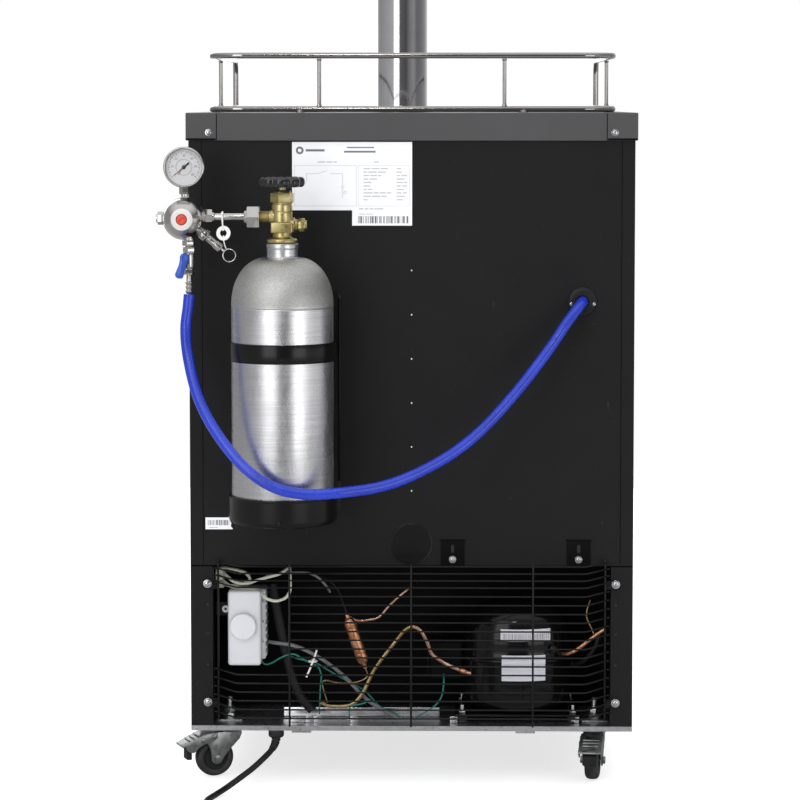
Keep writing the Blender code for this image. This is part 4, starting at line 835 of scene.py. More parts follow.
def panel_marks():
    """The back panel's foam vents, its round knock-out, the liner's slotted tabs and the panel's edges."""
    vents, rims = [], []
    for k in range(6):
        centre = at(0, 0, 693 - 59.2 * k)
        vents.append(turned([(0, 0.1), (1.1, 0.1), (1.1, 0.4), (0, 0.7)], centre, BACK, 16, 0.2))
        rims.append(
            turned([(1.2, 0.1), (2.2, 0.1), (2, 0.4), (1.3, 0.4)], centre, BACK, 20, 0.1, closed=True)
        )
    disc_profile = [(0, 0.1), (28.4, 0.1), (28.4, 0.5), (27.6, 0.9), (26.2, 0.6), (0, 0.6)]
    disc = turned(disc_profile, at(0, 0, 324.6), BACK, 72, 0.3)
    tabs, slot_shades = [], []
    for side in (-55.2, -224.4):
        outline = [(-15.5, 35.5), (-15.5, 0), (15.5, 0), (15.5, 35.5)]
        tabs.append(
            prism([(u * 1.01, v + 2.2) for u, v in outline[::-1]], 0.4, from_behind(side, 1.4, 293.5), 0.2)
        )
        slot = [(2.1 * math.cos(a), 3.5 * (1 if k < 9 else -1) + 2.1 * math.sin(a))
                for k, a in enumerate(math.pi * j / 8 for j in [*range(9), *range(8, 17)])]
        # Each slot is a thin dark sheet: painted shade in the slot
        slot_shades.append(prism(slot, 0.2, from_behind(side, 1.8, 319)))
        tabs.append(box((side - 17.5, side + 17.5), (0.2, 2.1), (329.6, 331.2), 0.5))
    seams = [box((s * 280.1 - 0.4, s * 280.1 + 0.4), (0.1, 0.5), (296.5, 865), 0.2, 1) for s in (-1, 1)]
    parts = [(vents, "foam"), (rims, "paint"), (disc, "bracket"), (tabs, "bay"),
             (slot_shades, "rubber"), (seams, "bay")]
    piece("panel_details", "root", parts)


def flat_label(side, up, out=0.2, thick=0.2):
    low, high = sorted(side), sorted(up)
    return box(low, (out, out + thick), high, 0)


def bars(side, up, out, count, seed):
    """A made-up bar pattern between two sides."""
    draw = random.Random(seed)
    widths = [draw.choice((1, 1, 2, 3)) for _ in range(2 * count - 1)]
    unit = (side[1] - side[0]) / sum(widths)
    shapes, run = [], side[0]
    for k, width in enumerate(widths):
        if k % 2 == 0:
            shapes.append(flat_label((run, run + width * unit), up, out, 0.08))
        run += width * unit
    return shapes


def rules(side, ups, out, seed, height=1.4):
    """Broken grey lines that stand for small print."""
    draw = random.Random(seed)
    shapes = []
    for up in ups:
        run = side[1]
        while run > side[0] + 4:
            length = min(draw.uniform(4, 12), run - side[0])
            shapes.append(flat_label((run - length, run), (up, up + height), out, 0.06))
            run -= length + 1.6
            if draw.random() < 0.22:
                break
    return shapes


def rating_label():
    """The white rating label: a plain emblem, two tables, a wiring sketch and a bar pattern."""
    top = 0.42
    sheet = [flat_label((-0.6, 159.2), (773.3, 864.1)), flat_label((-0.6, 79.3), (752.9, 773.28))]
    frame_lines = []
    for low, high, bottom, upper in ((73.5, 156, 779, 833), (3, 70.5, 779, 833)):
        for side in (low, high):
            frame_lines.append(flat_label((side - 0.2, side + 0.2), (bottom, upper), top, 0.06))
        for up in (bottom, upper):
            frame_lines.append(flat_label((low, high), (up - 0.2, up + 0.2), top, 0.06))
    disc_profile = [(2.4, top), (5.2, top), (5.2, top + 0.08), (2.4, top + 0.08)]
    emblem = turned(disc_profile, at(149, 0, 853), BACK, 40, 0, closed=True)
    title = [
        flat_label((116, 141), (851.5, 854.5), top, 0.06),
        flat_label((50, 86), (856, 857.7), top, 0.06),
        flat_label((48, 90), (850, 852.4), top, 0.06),
    ]
    rows = [828 - 4.6 * k for k in range(10)]
    columns = (
        ((6, 20), rows, 4), ((26, 64), rows, 5), ((95, 125), [836.8], 6), ((20, 50), [836.8], 7),
        ((5, 70), [774.5], 8)
    )
    small = [line for side, ups, seed in columns for line in rules(side, ups, top, seed)]
    sketch = []
    for a, b in (((140, 822), (125, 822)), ((125, 822), (112, 826.5)), ((108, 822), (92, 822)),
                 ((92, 822), (92, 806)), ((92, 802), (92, 790)), ((140, 822), (140, 812))):
        sketch.append(tube([at(a[0], top, a[1]), at(b[0], top, b[1])], 0.28, 6))
    for side, up in ((92, 804), (89, 797), (143, 810)):
        ring = [(1.4, top), (1.9, top), (1.9, top + 0.1), (1.4, top + 0.1)]
        sketch.append(turned(ring, at(side, 0, up), BACK, 20, 0, closed=True))
    code = bars((4.5, 71.5), (756, 765.5), top, 26, 11)
    small_print = rules((5, 70), [767.8], top, 12, 0.9)
    piece("rating_label", "root",
          [(sheet, "label"), (frame_lines, "faint"), (emblem, "ink"), (title, "ink"), (small, "faint"),
           (sketch, "faint"), (code, "ink"), (small_print, "faint")])


def sticker():
    """The small bar-pattern sticker beside the cylinder's cup, one corner lifting."""
    outline = [(-17, -8), (16.8, -8), (18.2, 8), (-17, 8)]
    paper_shape = prism(outline, 0.2, from_behind(260, 0.2, 352.4))
    corner = prism([(0, 0), (5, 0.4), (0.4, 5)], 0.2,
                   from_behind(244, 0.5, 344.6) @ Matrix.Rotation(-0.5, 4, "Y"))
    code = bars((245, 274), (350, 357), 0.4, 20, 21)
    note = rules((248, 272), [346.2], 0.4, 22, 1)
    piece(
        "bar_sticker", "root",
        [([paper_shape, corner], "label"), (code, "ink"), (note, "faint")]
    )


def cap_details():
    """The cap's folded corner seams and the small lip under its skirt."""
    seams = []
    for s in (-1, 1):
        seams.append(box((s * 259.7 - 0.5, s * 259.7 + 0.5), (2.6, 3.4), (866.4, 902), 0.2, 1))
        seams.append(box((s * 261, s * 300.5), (2.9, 3.4), (866.4, 869), 0.2, 1))
    piece("cap_seams", "root", [(seams, "bay")])


# Guard rail


def rail_line(up):
    """The U of a rail, open towards the door, with finely rounded corners."""
    corner, steps = 45, 14
    line = [at(RAIL_HALF, RAIL_FRONT, up)]
    for sign in (1, -1):
        for k in range(steps + 1):
            angle = math.pi / 2 * (k / steps)
            if sign < 0:
                angle += math.pi / 2
            side = sign * (RAIL_HALF - corner) + corner * math.cos(angle)
            line.append(at(side, RAIL_REAR - corner + corner * math.sin(angle), up))
    return [*line, at(-RAIL_HALF, RAIL_FRONT, up)]


def guard_rail():
    # Both rails are in the darkened rail plating, whose darkness is painted shade
    line = rail_line(RAIL_HIGH)
    foot, bend, steps = RAIL_LOW + 4.3, 20, 10
    ends = []
    for side in (RAIL_HALF, -RAIL_HALF):
        end = [at(side, RAIL_FRONT, foot)]
        for k in range(steps + 1):
            angle = math.pi / 2 * k / steps
            out, up = RAIL_FRONT + bend * (1 - math.cos(angle)), RAIL_HIGH - bend * (1 - math.sin(angle))
            end.append(at(side, out, up))
        ends.append(end)
    upper = tube([*ends[0], *line[1:-1], *ends[1][::-1]], 4, 20)
    piece("upper_rail", "root", [(upper, "rail")], ["guard_rail_upper"])

    line = rail_line(RAIL_LOW)
    forward = Vector((0, -6, 0))
    shapes = [tube([line[0] + forward, *line, line[-1] + forward], 4, 20)]
    for end in (line[0], line[-1]):
        shapes.append(turned([(3.9, 0), (3.6, 1.2), (0, 2.2)], end + forward, FORWARD, 20))
    top, low = RAIL_HIGH - 4.2, RAIL_LOW + 3
    posts = [(123.5, RAIL_REAR), (-123.5, RAIL_REAR), (RAIL_HALF, -220), (-RAIL_HALF, -220)]
    for side, out in posts:
        profile = [(0, 0), (4, 0), (2.6, 3.5), (2.6, top - low - 3), (3.7, top - low), (0, top - low)]
        shapes.append(turned(profile, at(side, out, low), UP, 24, 1))
    feet = [(s, RAIL_REAR) for s in (149, -149)] + [(s, o) for s in (270, -270) for o in (-120, -480)]
    height = RAIL_LOW - WORKTOP - 0.3
    for side, out in feet:
        profile = [(0, 0), (6.2, 0), (6.2, 0.8), (4.8, 1.4), (4, height), (0, height)]
        shapes.append(turned(profile, at(side, out, WORKTOP + 0.3), UP, 24))
    piece("lower_rail", "root", [(shapes, "rail")], ["guard_rail_lower"])


# Tower


def tower():
    foot = WORKTOP + 0.3
    height, r = TOWER_TOP - foot, TOWER_RADIUS
    profile = [(r, height), (r, 5.2), (r + 2, 4.2), (48.5, 3.8), (50, 2.4), (50, 0),
               (r - 1.6, 0), (r - 1.6, height)]
    parts = [(turned(profile, at(TOWER_SIDE, TOWER_OUT, foot), segments=128, closed=True), "chrome")]
    heads = []
    for k in range(4):
        angle = math.pi / 4 + math.pi / 2 * k
        spot = at(TOWER_SIDE + 43.5 * math.cos(angle), TOWER_OUT + 43.5 * math.sin(angle), foot + 3.8)
        heads.append(pan_head(spot, UP, 2.6))
    parts.append((heads, "steel"))
    piece("tower", "root", parts, ["tower_column"])

    cap_r = r + 1
    cap = turned([(0, 11), (cap_r - 9, 10.5), (cap_r - 2, 8.2), (cap_r, 5), (cap_r, 0),
                  (r - 2.2, 0), (r - 2.2, -12), (0, -12)], at(TOWER_SIDE, TOWER_OUT, TOWER_TOP + 0.3),
                 segments=96, soft=1.5)
    piece("tower_lid", "root", [(cap, "black")], ["tower_cap"])


def faucet():
    """The shank with its wall flange and knurled nut, the faucet body and its bent spout."""
    face = at(TOWER_SIDE, TOWER_OUT - TOWER_RADIUS, SHANK_UP)
    nut_start = 16.5
    flange = turned([(0, -8), (11, -8), (11, 0.4), (17.6, 0.4), (18, 3),
                     (15, 6), (11, 6.6), (11, 17), (0, 17)], face, FORWARD)
    inner = turned([(0, -45), (11, -45), (11, -8), (0, -8)], face, FORWARD, 48)
    lock = hexagon(30, 7, facing(face + Vector((0, 15, 0)), FORWARD))
    knurl = []
    for k in range(96):
        r = 16.5 if k % 2 else 15.8
        knurl.append((r * math.cos(math.tau * k / 96), r * math.sin(math.tau * k / 96)))
    nut = prism(knurl, 13, facing(face + Vector((0, -nut_start, 0)), FORWARD), 0.8)
    body = turned([(0, 0), (12, 0), (11.5, 3), (10.8, 9), (10.5, 25), (8.5, 30), (0, 31.5)],
                  face + Vector((0, -nut_start - 13, 0)), FORWARD, soft=2)
    socket = rod(
        at(TOWER_SIDE, FAUCET_OUT, SHANK_UP + 5.5), at(TOWER_SIDE, FAUCET_OUT, SHANK_UP + 25), 7.8, 48
    )
    body = cut(body, socket)
    neck = turned([(0, 0), (9.5, 0), (9.5, 11.5), (8.8, 13.5), (8, 13.5), (7.8, 5.5), (0, 5.5)],
                  at(TOWER_SIDE, FAUCET_OUT, SHANK_UP), UP, soft=1)
    nut_out = TOWER_OUT - TOWER_RADIUS - nut_start
    route = [at(TOWER_SIDE, nut_out - 32, SHANK_UP - 2), at(TOWER_SIDE, nut_out - 46, SHANK_UP - 12),
             at(TOWER_SIDE, nut_out - 58, SHANK_UP - 28), at(TOWER_SIDE, nut_out - 64, SHANK_UP - 46),
             at(TOWER_SIDE, nut_out - 65, SHANK_UP - 72)]
    line = smooth_line(route, 3)
    radii = [8.4 - 1.4 * k / (len(line) - 1) for k in range(len(line))]
    spout = tube(line, radii, 32)
    lip = turned([(5.2, 0), (7.4, 0), (7.4, 3), (6.6, 4.4), (5.2, 4.4)], line[-1], UP, 48, closed=True)
    parts = [([flange, inner, lock, nut, body, neck, spout, lip], "chrome")]
    piece("faucet", "root", parts, ["faucet_body"])

    pivot = at(TOWER_SIDE, FAUCET_OUT, FAUCET_UP)
    lever = turned([(0, -2), (3, -1.6), (4.6, 1), (4, 5), (3.2, 10), (3.2, 18),
                    (7.8, 19.6), (7.8, 24), (4, 24), (4, 36), (0, 36)], pivot)
    collar = turned([(3, 10.4), (8.8, 10.4), (9.2, 13), (7, 15), (3, 15)], pivot, closed=True)
    piece(
        "lever_stem", "faucet_lever", [(lever, "chrome"), (collar, "chrome")],
        ["faucet_lever"]
    )
    handle = turned([(0, 13), (4.4, 13), (4.4, 0), (9, 0), (9.4, 3), (8.8, 5), (9.5, 7),
                     (10.5, 26), (13.8, 50), (15.6, 64), (15.2, 74), (12, 81.5), (0, 85)],
                    pivot + Vector((0, 0, 24.5)), segments=96, soft=3)
    ferrule = turned(
        [(8.6, 0.2), (9.6, 0.2), (9.8, 6), (8.8, 6.6)], pivot + Vector((0, 0, 24.5)), closed=True
    )
    piece(
        "tap_grip", "faucet_lever", [(handle, "black"), (ferrule, "chrome")],
        ["tap_handle"]
    )


def door_grip():
    """The door's bar handle with rounded ends and flared posts."""
    out = -681
    bar = turned([(0, 0), (4.4, 0.4), (6, 2.8), (6, 277.2), (4.4, 279.6), (0, 280)],
                 at(-262, out, 520), UP, 48, 1.2)
    posts = []
    for up in (550, 770):
        profile = [(0, 0), (5, 0), (5, 33), (6.2, 37), (7.8, 38), (7.8, 39.7), (0, 39.7)]
        posts.append(turned(profile, at(-262, out, up), BACK, 40, 1))
    piece("door_bar", "door", [(bar, "chrome"), (posts, "chrome")], ["door_handle"])


# Gas cylinder


def cylinder():
    r, shoulder = TANK_RADIUS, 280.5
    foot = at(TANK_SIDE, TANK_OUT, TANK_BOTTOM)
    profile = [
        (0, 0), (r - 16, 0), (r - 5, 4), (r, 14), (r, shoulder - 1), (r - 0.4, shoulder), (r, shoulder + 1),
        (r, 285)
    ]
    for k in range(1, 17):
        angle = math.pi / 2 * k / 18
        profile.append((21.5 + (r - 21.5) * math.cos(angle), 285 + 60 * math.sin(angle)))
    profile += [(20.8, 345.2), (20.5, 347), (20.5, 356), (21.2, 357.2), (21.2, 363), (0, 363)]
    piece(
        "gas_cylinder", "root",
        [(turned(profile, foot, segments=160, soft=0.8), "cylinder")], ["co2_cylinder"]
    )


def valve():
    """The brass valve: collar, column, square block, bonnet nut, outlet and the safety disc's plug."""
    foot = at(TANK_SIDE, TANK_OUT, 733.3)
    column = turned([(0, 0), (18, 0), (19.6, 1), (20.5, 3.4), (19.6, 6), (16, 6.6), (12.5, 8.2),
                     (12.2, 14), (12.8, 26), (13.7, 28), (13.7, 40), (13.2, 41), (13.7, 42),
                     (13.7, 50.5), (12.7, 51.2), (12.7, 53), (0, 53)], foot, segments=72, soft=1.2)
    nut = hexagon(26.8, 12.8, facing(foot + Vector((0, 0, 53)), UP, 0.26), 1)
    bonnet = turned([(0, 0), (12.5, 0), (11, 3), (4.5, 3.4), (4.5, 10), (0, 10)],
                    foot + Vector((0, 0, 65.7)), soft=0.6)
    cube = box((TANK_SIDE - 14.2, TANK_SIDE + 14.2), (TANK_OUT - 14, TANK_OUT + 14), (747, 761.2), 1.8, 4)
    outlet_profile = [(0, 0), (9.8, 0), (9.8, 12), (8.6, 15), (8.6, 16.5)]
    for k in range(9):
        along = 17 + 1.6 * k
        outlet_profile += [(7.8, along), (7, along + 0.8)]
    outlet_profile += [(7.5, 32.5), (6, 32.9), (0, 32.9)]
    outlet = turned(outlet_profile, at(TANK_SIDE, TANK_OUT, PORT_UP), LEFT, 48, 0.2)
    plug_up = 757.5
    plug = turned([(0, 0), (9.5, 0), (9.5, 16), (7.2, 17.5), (7.2, 20), (6, 20.6), (6, 22), (0, 22)],
                  at(TANK_SIDE, TANK_OUT, plug_up), RIGHT, 48)
    head = hexagon(15, 8.5, facing(at(146.5, TANK_OUT, plug_up), RIGHT), 0.8)
    face = turned([(0, 0), (5.8, 0), (5.8, 2.2), (4, 2.4), (3.8, 0.8), (0, 0.8)],
                  at(138.1, TANK_OUT, plug_up), RIGHT, 32, 0.3)
    parts = [([column, nut, bonnet, cube, outlet, plug, head, face], "brass")]
    piece("brass_valve", "root", parts, ["cylinder_valve"])


def handwheel():
    """The glossy eight-lobed wheel: finger hollows round the rim, a raised hub with its nut."""
    lobes, around, centre = 8, 160, at(TANK_SIDE, TANK_OUT, 806)
    profile = [(6, 0.6), (20, 1.2), (26.2, 0.4), (29.2, 2.6), (30.1, 6.6), (29.6, 11.2),
               (26.6, 14.1), (22.6, 14), (19.6, 11.6), (13, 10.8), (10, 12.8), (6, 13.6)]
    closed = eased([*profile, profile[0]], 1.6, 4)
    shape = bmesh.new()
    rings = []
    for k in range(around):
        angle = math.tau * k / around
        dip = 0.5 - 0.5 * math.cos(lobes * angle)
        ring = []
        for r, along in closed[:-1]:
            reach = max(0.0, (r - 18) / 12.1)
            radius = r - 3.8 * dip**2.2 * reach
            along = 7.4 + (along - 7.4) * (1 - 0.10 * dip * reach)
            spot = Vector((radius * math.cos(angle), radius * math.sin(angle), along))
            ring.append(shape.verts.new(spot * MM))
        rings.append(ring)
    for a, b in zip(rings, rings[1:] + rings[:1]):
        for k in range(len(a)):
            j = (k + 1) % len(a)
            shape.faces.new((a[k], b[k], b[j], a[j]))
    moved(shape, Matrix.Translation(centre))
    washer = turned([(0, 13.4), (7.2, 13.4), (7.2, 14.2), (0, 14.2)], centre, soft=0.3)
    nut = hexagon(8, 1.6, facing(centre + Vector((0, 0, 14)), UP), 0.5)
    hub = turned([(4.6, 0.3), (9, 0.3), (9, 13.4), (4.6, 13.4)], centre, closed=True)
    piece(
        "handwheel", "valve_handwheel",
        [(shape, "black"), (hub, "black"), (washer, "black"), (nut, "bracket")], ["valve_handwheel"]
    )


def bracket():
    """The wall plate with its rolled edges, the cup, and the strap with its screws."""
    half_side, low, high = 73, 365, 668
    middle = (low + high) / 2
    plate = prism(
        rounded_rectangle(half_side, (high - low) / 2, 10), 2.8, from_behind(TANK_SIDE, 0.3, middle), 0.8
    )
    holes = [prism(rounded_rectangle(10, 35, 9.5), 10, from_behind(TANK_SIDE + s, -4, up))
             for s in (-40, 40) for up in (470, 545)]
    plate = cut(plate, *holes)
    ribs = [box((TANK_SIDE + s * 71.2, TANK_SIDE + s * 72.8), (0.6, 7.5), (low + 45, high - 12), 0.7)
            for s in (-1, 1)]
    inner, outer = TANK_RADIUS + 0.6, TANK_RADIUS + 4.4
    cup = turned([(0, 0), (outer - 14, 0), (outer - 2, 3), (outer, 8), (outer, 35.5), (outer + 0.5, 37.2),
                  (outer, 38.5), (inner + 0.4, 38.5), (inner, 36.5), (inner, 14), (inner - 8, 4.2), (0, 4.2)],
                 at(TANK_SIDE, TANK_OUT, low), segments=112, soft=1.2)
    gusset = box((TANK_SIDE - 45, TANK_SIDE + 45), (0.8, 21), (low + 0.6, 403), 1.2)
    rivets = [pan_head(at(TANK_SIDE + s, 3.1, up), BACK, 4) for s in (-58, 58) for up in (430, 648)]
    dimple = turned(
        [(0, 0), (4.2, 0), (3.4, 1.2), (0, 1.5)], at(TANK_SIDE, TANK_OUT + outer - 0.2, low + 8.5), BACK,
        32, 0.4
    )
    parts = [(plate, "bracket"), (ribs, "bracket"), (cup, "bracket"), (gusset, "bracket"), (rivets, "steel"),
             (dimple, "bracket")]
    piece("bracket", "root", parts, ["cylinder_bracket"])

    back = 3.6 - TANK_OUT
    near, far = TANK_RADIUS + 0.6, TANK_RADIUS + 2.2
    arc = [math.pi * k / 72 for k in range(73)]
    outline = [
        (far, back), *((far * math.cos(a), far * math.sin(a)) for a in arc), (-far, back), (-near, back)
    ]
    outline += [*((near * math.cos(a), near * math.sin(a)) for a in reversed(arc)), (near, back)]
    band = prism(outline, 25, Matrix.Translation(at(TANK_SIDE, TANK_OUT, 580)), 0.5)
    edges = []
    for up in (580.6, 604.4):
        line = [
            at(TANK_SIDE + (far + 0.1) * math.cos(a), TANK_OUT + (far + 0.1) * math.sin(a), up) for a in arc
        ]
        edges.append(tube(line, 0.6, 8))
    heads = [pan_head(at(TANK_SIDE + s, TANK_OUT + far - 0.3, 585.2), BACK, 2.2) for s in (-3, 4.5)]
    clip = box((TANK_SIDE + far - 0.6, TANK_SIDE + far + 1.8), (8, 28), (581.2, 603.8), 0.6)
    piece("strap", "root",
          [(band, "bracket"), (edges, "bracket"), (heads, "wire"), (clip, "bracket")], ["bracket_strap"])


# Regulator


def regulator():
    centre = at(REG_SIDE, TANK_OUT, REG_UP)
    body_profile = [(0, -22), (12, -22), (20, -18.5), (23, -12), (23.5, 5), (27.2, 7.4),
                    (27.8, 10), (27.8, 14.2), (26.8, 17.2)]
    for k in range(1, 12):
        angle = math.pi / 2 * k / 14
        body_profile.append((26.2 * math.cos(angle), 17.6 + 34 * math.sin(angle)))
    body_profile += [(7.2, 51.2), (6.8, 50.6), (6.8, 45), (0, 45)]
    body = turned(body_profile, centre, BACK, 112, 1.2)
    tag = turned([(7.2, 51.1), (9.5, 50.9), (13.5, 47.8), (13.9, 47), (14.2, 47.8), (13.8, 48.8),
                  (9.8, 51.9), (7.2, 52.1)], centre, BACK, 72, 0.2, closed=True)
    rise = PORT_UP - REG_UP
    plug = hexagon(15, 12, facing(centre + Vector((23.5, 0, 0)), LEFT), 0.9)
    plug_end = turned([(0, 0), (5.8, 0), (5.6, 1.7), (3, 1.7), (2.8, 0.4), (0, 0.4)],
                      centre + Vector((35.4, 0, 0)), LEFT, 32, 0.3)
    boss = turned([(0, 0), (8.5, 0), (8.5, 7), (0, 7)], centre + Vector((18, 0, 0)), LEFT, 40)
    nipple = hexagon(17, 11.5, facing(centre + Vector((-24.5, 0, rise)), RIGHT, 0.2), 1)
    step = turned([(0, 0), (7.8, 0), (7.8, 10), (6.6, 11), (6.6, 20), (5, 21.5), (0, 21.5)],
                  centre + Vector((-18, 0, rise)), RIGHT, 48)
    inlet = rod(centre + Vector((-36, 0, rise)), at(201.3, TANK_OUT, PORT_UP), 5, 48)
    port_top = GAUGE_UP - GAUGE_RADIUS - 12.5
    port = turned([(0, 0), (8.5, 0), (8.5, 3.5), (7, 4.5), (0, 4.5)],
                  at(REG_SIDE, TANK_OUT, port_top - 4.5), UP, 48)
    port_neck = rod(centre + Vector((0, 0, 15)), at(REG_SIDE, TANK_OUT, port_top - 3), 7.8, 40)
    outlet_up = REG_UP - 36
    outlet = hexagon(15, 7.5, facing(at(SHUTOFF_SIDE, TANK_OUT, outlet_up), UP, 0.3), 0.8)
    outlet_neck = rod(
        at(SHUTOFF_SIDE, TANK_OUT, outlet_up + 4), at(SHUTOFF_SIDE, TANK_OUT, REG_UP - 14), 6.6, 40
    )
    start = centre + RELIEF_WAY * 18
    relief = turned([(0, 0), (7.2, 0), (7.2, 8.5), (6.2, 9.2), (6.2, 10.5), (7, 11.2), (7, 19.5),
                     (5, 21.2), (5, 24), (5.6, 24.6), (5, 25.2), (5, 32.5), (6, 33.8),
                     (6, 43), (5.2, 44), (2, 44), (1.9, 30), (0, 30)], start, RELIEF_WAY, 48, 0.4)
    relief_hex = hexagon(13.5, 7.5, facing(start + RELIEF_WAY * 11.5, RELIEF_WAY), 0.7)
    plated_parts = [body, plug, plug_end, boss, nipple, step, inlet]
    plated_parts += [port, port_neck, outlet, outlet_neck, relief, relief_hex]
    parts = [(plated_parts, "nickel"), (tag, "tag")]
    piece("regulator", "root", parts, ["regulator_body"])

    screw = turned([(0, 0.2), (6.4, 0.2), (6.4, 8), (5.4, 9.6), (3, 9.8), (0, 9.2)],
                   at(REG_SIDE, TANK_OUT + 45.3, REG_UP), BACK, 48, 0.6)
    slit = prism([(-4.6, -0.6), (4.6, -0.6), (4.6, 0.6), (-4.6, 0.6)], 4,
                 from_behind(REG_SIDE, TANK_OUT + 45.3 + 8.4, REG_UP) @ Matrix.Rotation(0.6, 4, "Z"))
    piece(
        "pressure_screw", "adjusting_screw", [(cut(screw, slit), "red")],
        ["adjusting_screw"]
    )


def relief_ring():
    """The relief valve's pin and its split ring of two close turns."""
    start = at(REG_SIDE, TANK_OUT, REG_UP) + RELIEF_WAY * 18
    pin = turned([(0, 0), (1.5, 0), (1.5, 15), (2.4, 16), (2.4, 18), (0, 18.5)],
                 start + RELIEF_WAY * 32, RELIEF_WAY, 24, 0.4)
    centre = start + RELIEF_WAY * 57.5
    line = []
    for k in range(2 * 48 - 7):
        angle = math.tau * k / 48 + 2.2
        line.append(centre + Vector((8.3 * math.cos(angle), -0.6 + 1.2 * k / 88, 8.3 * math.sin(angle))))
    piece(
        "pull_ring", "relief_pull", [(pin, "steel"), (tube(line, 0.6, 10), "steel")],
        ["relief_pull"]
    )


def inlet_nut():
    centre = at(207.5, TANK_OUT, PORT_UP)
    nut = hexagon(27, 17, facing(centre + Vector((-10.5, 0, 0)), LEFT, math.pi / 6), 1.6)
    neck = turned(
        [(5.4, 16.5), (10, 16.5), (8.4, 20.5), (5.4, 21)], centre + Vector((-10.5, 0, 0)), LEFT, 48,
        closed=True
    )
    bore = rod(centre - Vector((20, 0, 0)), centre - Vector((3.5, 0, 0)), 8.3, 40, 0)
    tail = rod(centre - Vector((6, 0, 0)), centre + Vector((20, 0, 0)), 5.4, 32, 0)
    piece(
        "inlet_nut", "root", [(cut(nut, bore, tail), "nickel"), (neck, "nickel")], ["cga_nut"]
    )


def number(text, height, matrix):
    curve = bpy.data.curves.new("number", "FONT")
    curve.body = text
    curve.size = height * MM
    curve.align_x, curve.align_y = "CENTER", "CENTER"
    curve.extrude = 0.04 * MM
    made = bpy.data.objects.new("number", curve)
    bpy.context.collection.objects.link(made)
    mesh = bpy.data.meshes.new_from_object(made.evaluated_get(bpy.context.evaluated_depsgraph_get()))
    bpy.data.objects.remove(made)
    shape = bmesh.new()
    shape.from_mesh(mesh)
    bpy.data.meshes.remove(mesh)
    bmesh.ops.remove_doubles(shape, verts=shape.verts, dist=1e-7)
    return moved(shape, matrix)


def gauge():
    """The pressure gauge: chrome cup and bezel, dial with ticks and numbers, and a domed lens."""
    centre = at(REG_SIDE, TANK_OUT, GAUGE_UP)
    r = GAUGE_RADIUS
    case = turned([(0, -13), (r - 8, -13), (r - 2.4, -10), (r - 1.2, -6), (r - 1, 5.5), (r, 7.5),
                   (r, 13), (r - 1, 14.8), (r - 2, 15), (r - 3.1, 13.8), (r - 3, 8.8), (0, 8.8)],
                  centre, BACK, 96, 0.6)
    stem_top = GAUGE_UP - r + 3
    stem = hexagon(12.5, 10, facing(at(REG_SIDE, TANK_OUT, stem_top - 11.8), UP, 0.2), 0.8)
    thread = rod(at(REG_SIDE, TANK_OUT, stem_top - 15.2), at(REG_SIDE, TANK_OUT, stem_top), 4.8, 32)
    dial = turned([(0, 8.9), (r - 3.2, 8.9), (r - 3.2, 9.2), (0, 9.2)], centre, BACK, 72, 0)
    top = 9.22
    face = from_behind(REG_SIDE, TANK_OUT + top, GAUGE_UP)

    def tick(turn, inner, outer, half_width, taper=1.0):
        way = Vector((math.cos(turn), math.sin(turn)))
        side = Vector((-way.y, way.x)) * half_width
        outline = [
            way * inner - side, way * outer - side * taper, way * outer + side * taper, way * inner + side
        ]
        return prism(outline, 0.08, face)

    marks, reds, digits = [], [], []
    for k in range(53):
        inner = (17.8, 19.9, 19, 19.9)[k % 4]
        marks.append(tick(math.radians(220 - 260 * k / 52), inner, 20.8, 0.22 if k % 4 else 0.32))
    for k in range(7):
        spot = Matrix.Translation((*polar(15, 220 - 260 * k / 6), 0))
        digits.append(number(str(10 * k), 4.2, face @ spot))
    marks.append(
        turned(
            [(10.2, top), (10.6, top), (10.6, top + 0.08), (10.2, top + 0.08)], centre, BACK, 64, 0,
            closed=True
        )
    )
    for k in range(27):
        reds.append(tick(math.radians(220 - 260 * k / 26), 9, 10, 0.2))
    needle_mark = tick(math.radians(232), 7, 12.5, 0.7, 0.6)
    piece(
        "gauge", "root",
        [
            (case, "nickel"), (stem, "nickel"), (thread, "nickel"), (dial, "dial"), (marks, "ink"),
            (reds, "faint"), (digits, "ink"), (needle_mark, "red")
        ],
        ["gauge_case"]
    )
    lens = turned([(0, 12.8), (15, 12.6), (r - 3.4, 12), (r - 3.4, 12.8), (15, 13.7), (0, 14)],
                  centre, BACK, 72, 0.3)
    piece("gauge_lens", "root", [(lens, "lens")])

    needle_angle = math.radians(220)
    matrix = from_behind(REG_SIDE, TANK_OUT + 9.8, GAUGE_UP) @ Matrix.Rotation(needle_angle, 4, "Z")
    pointer = prism([(-8.5, -1.3), (-3, -1), (2, -0.7), (18.5, -0.15), (18.5, 0.15),
                     (2, 0.7), (-3, 1), (-8.5, 1.3)], 0.5, matrix, 0.1)
    hub = turned([(0, -0.2), (2.6, -0.2), (2.6, 0.9), (1.2, 1.4), (0, 1.5)],
                 at(REG_SIDE, TANK_OUT + 9.8, GAUGE_UP), BACK, 32, 0.3)
    piece("pointer", "gauge_needle", [(pointer, "black"), (hub, "black")], ["gauge_needle"])


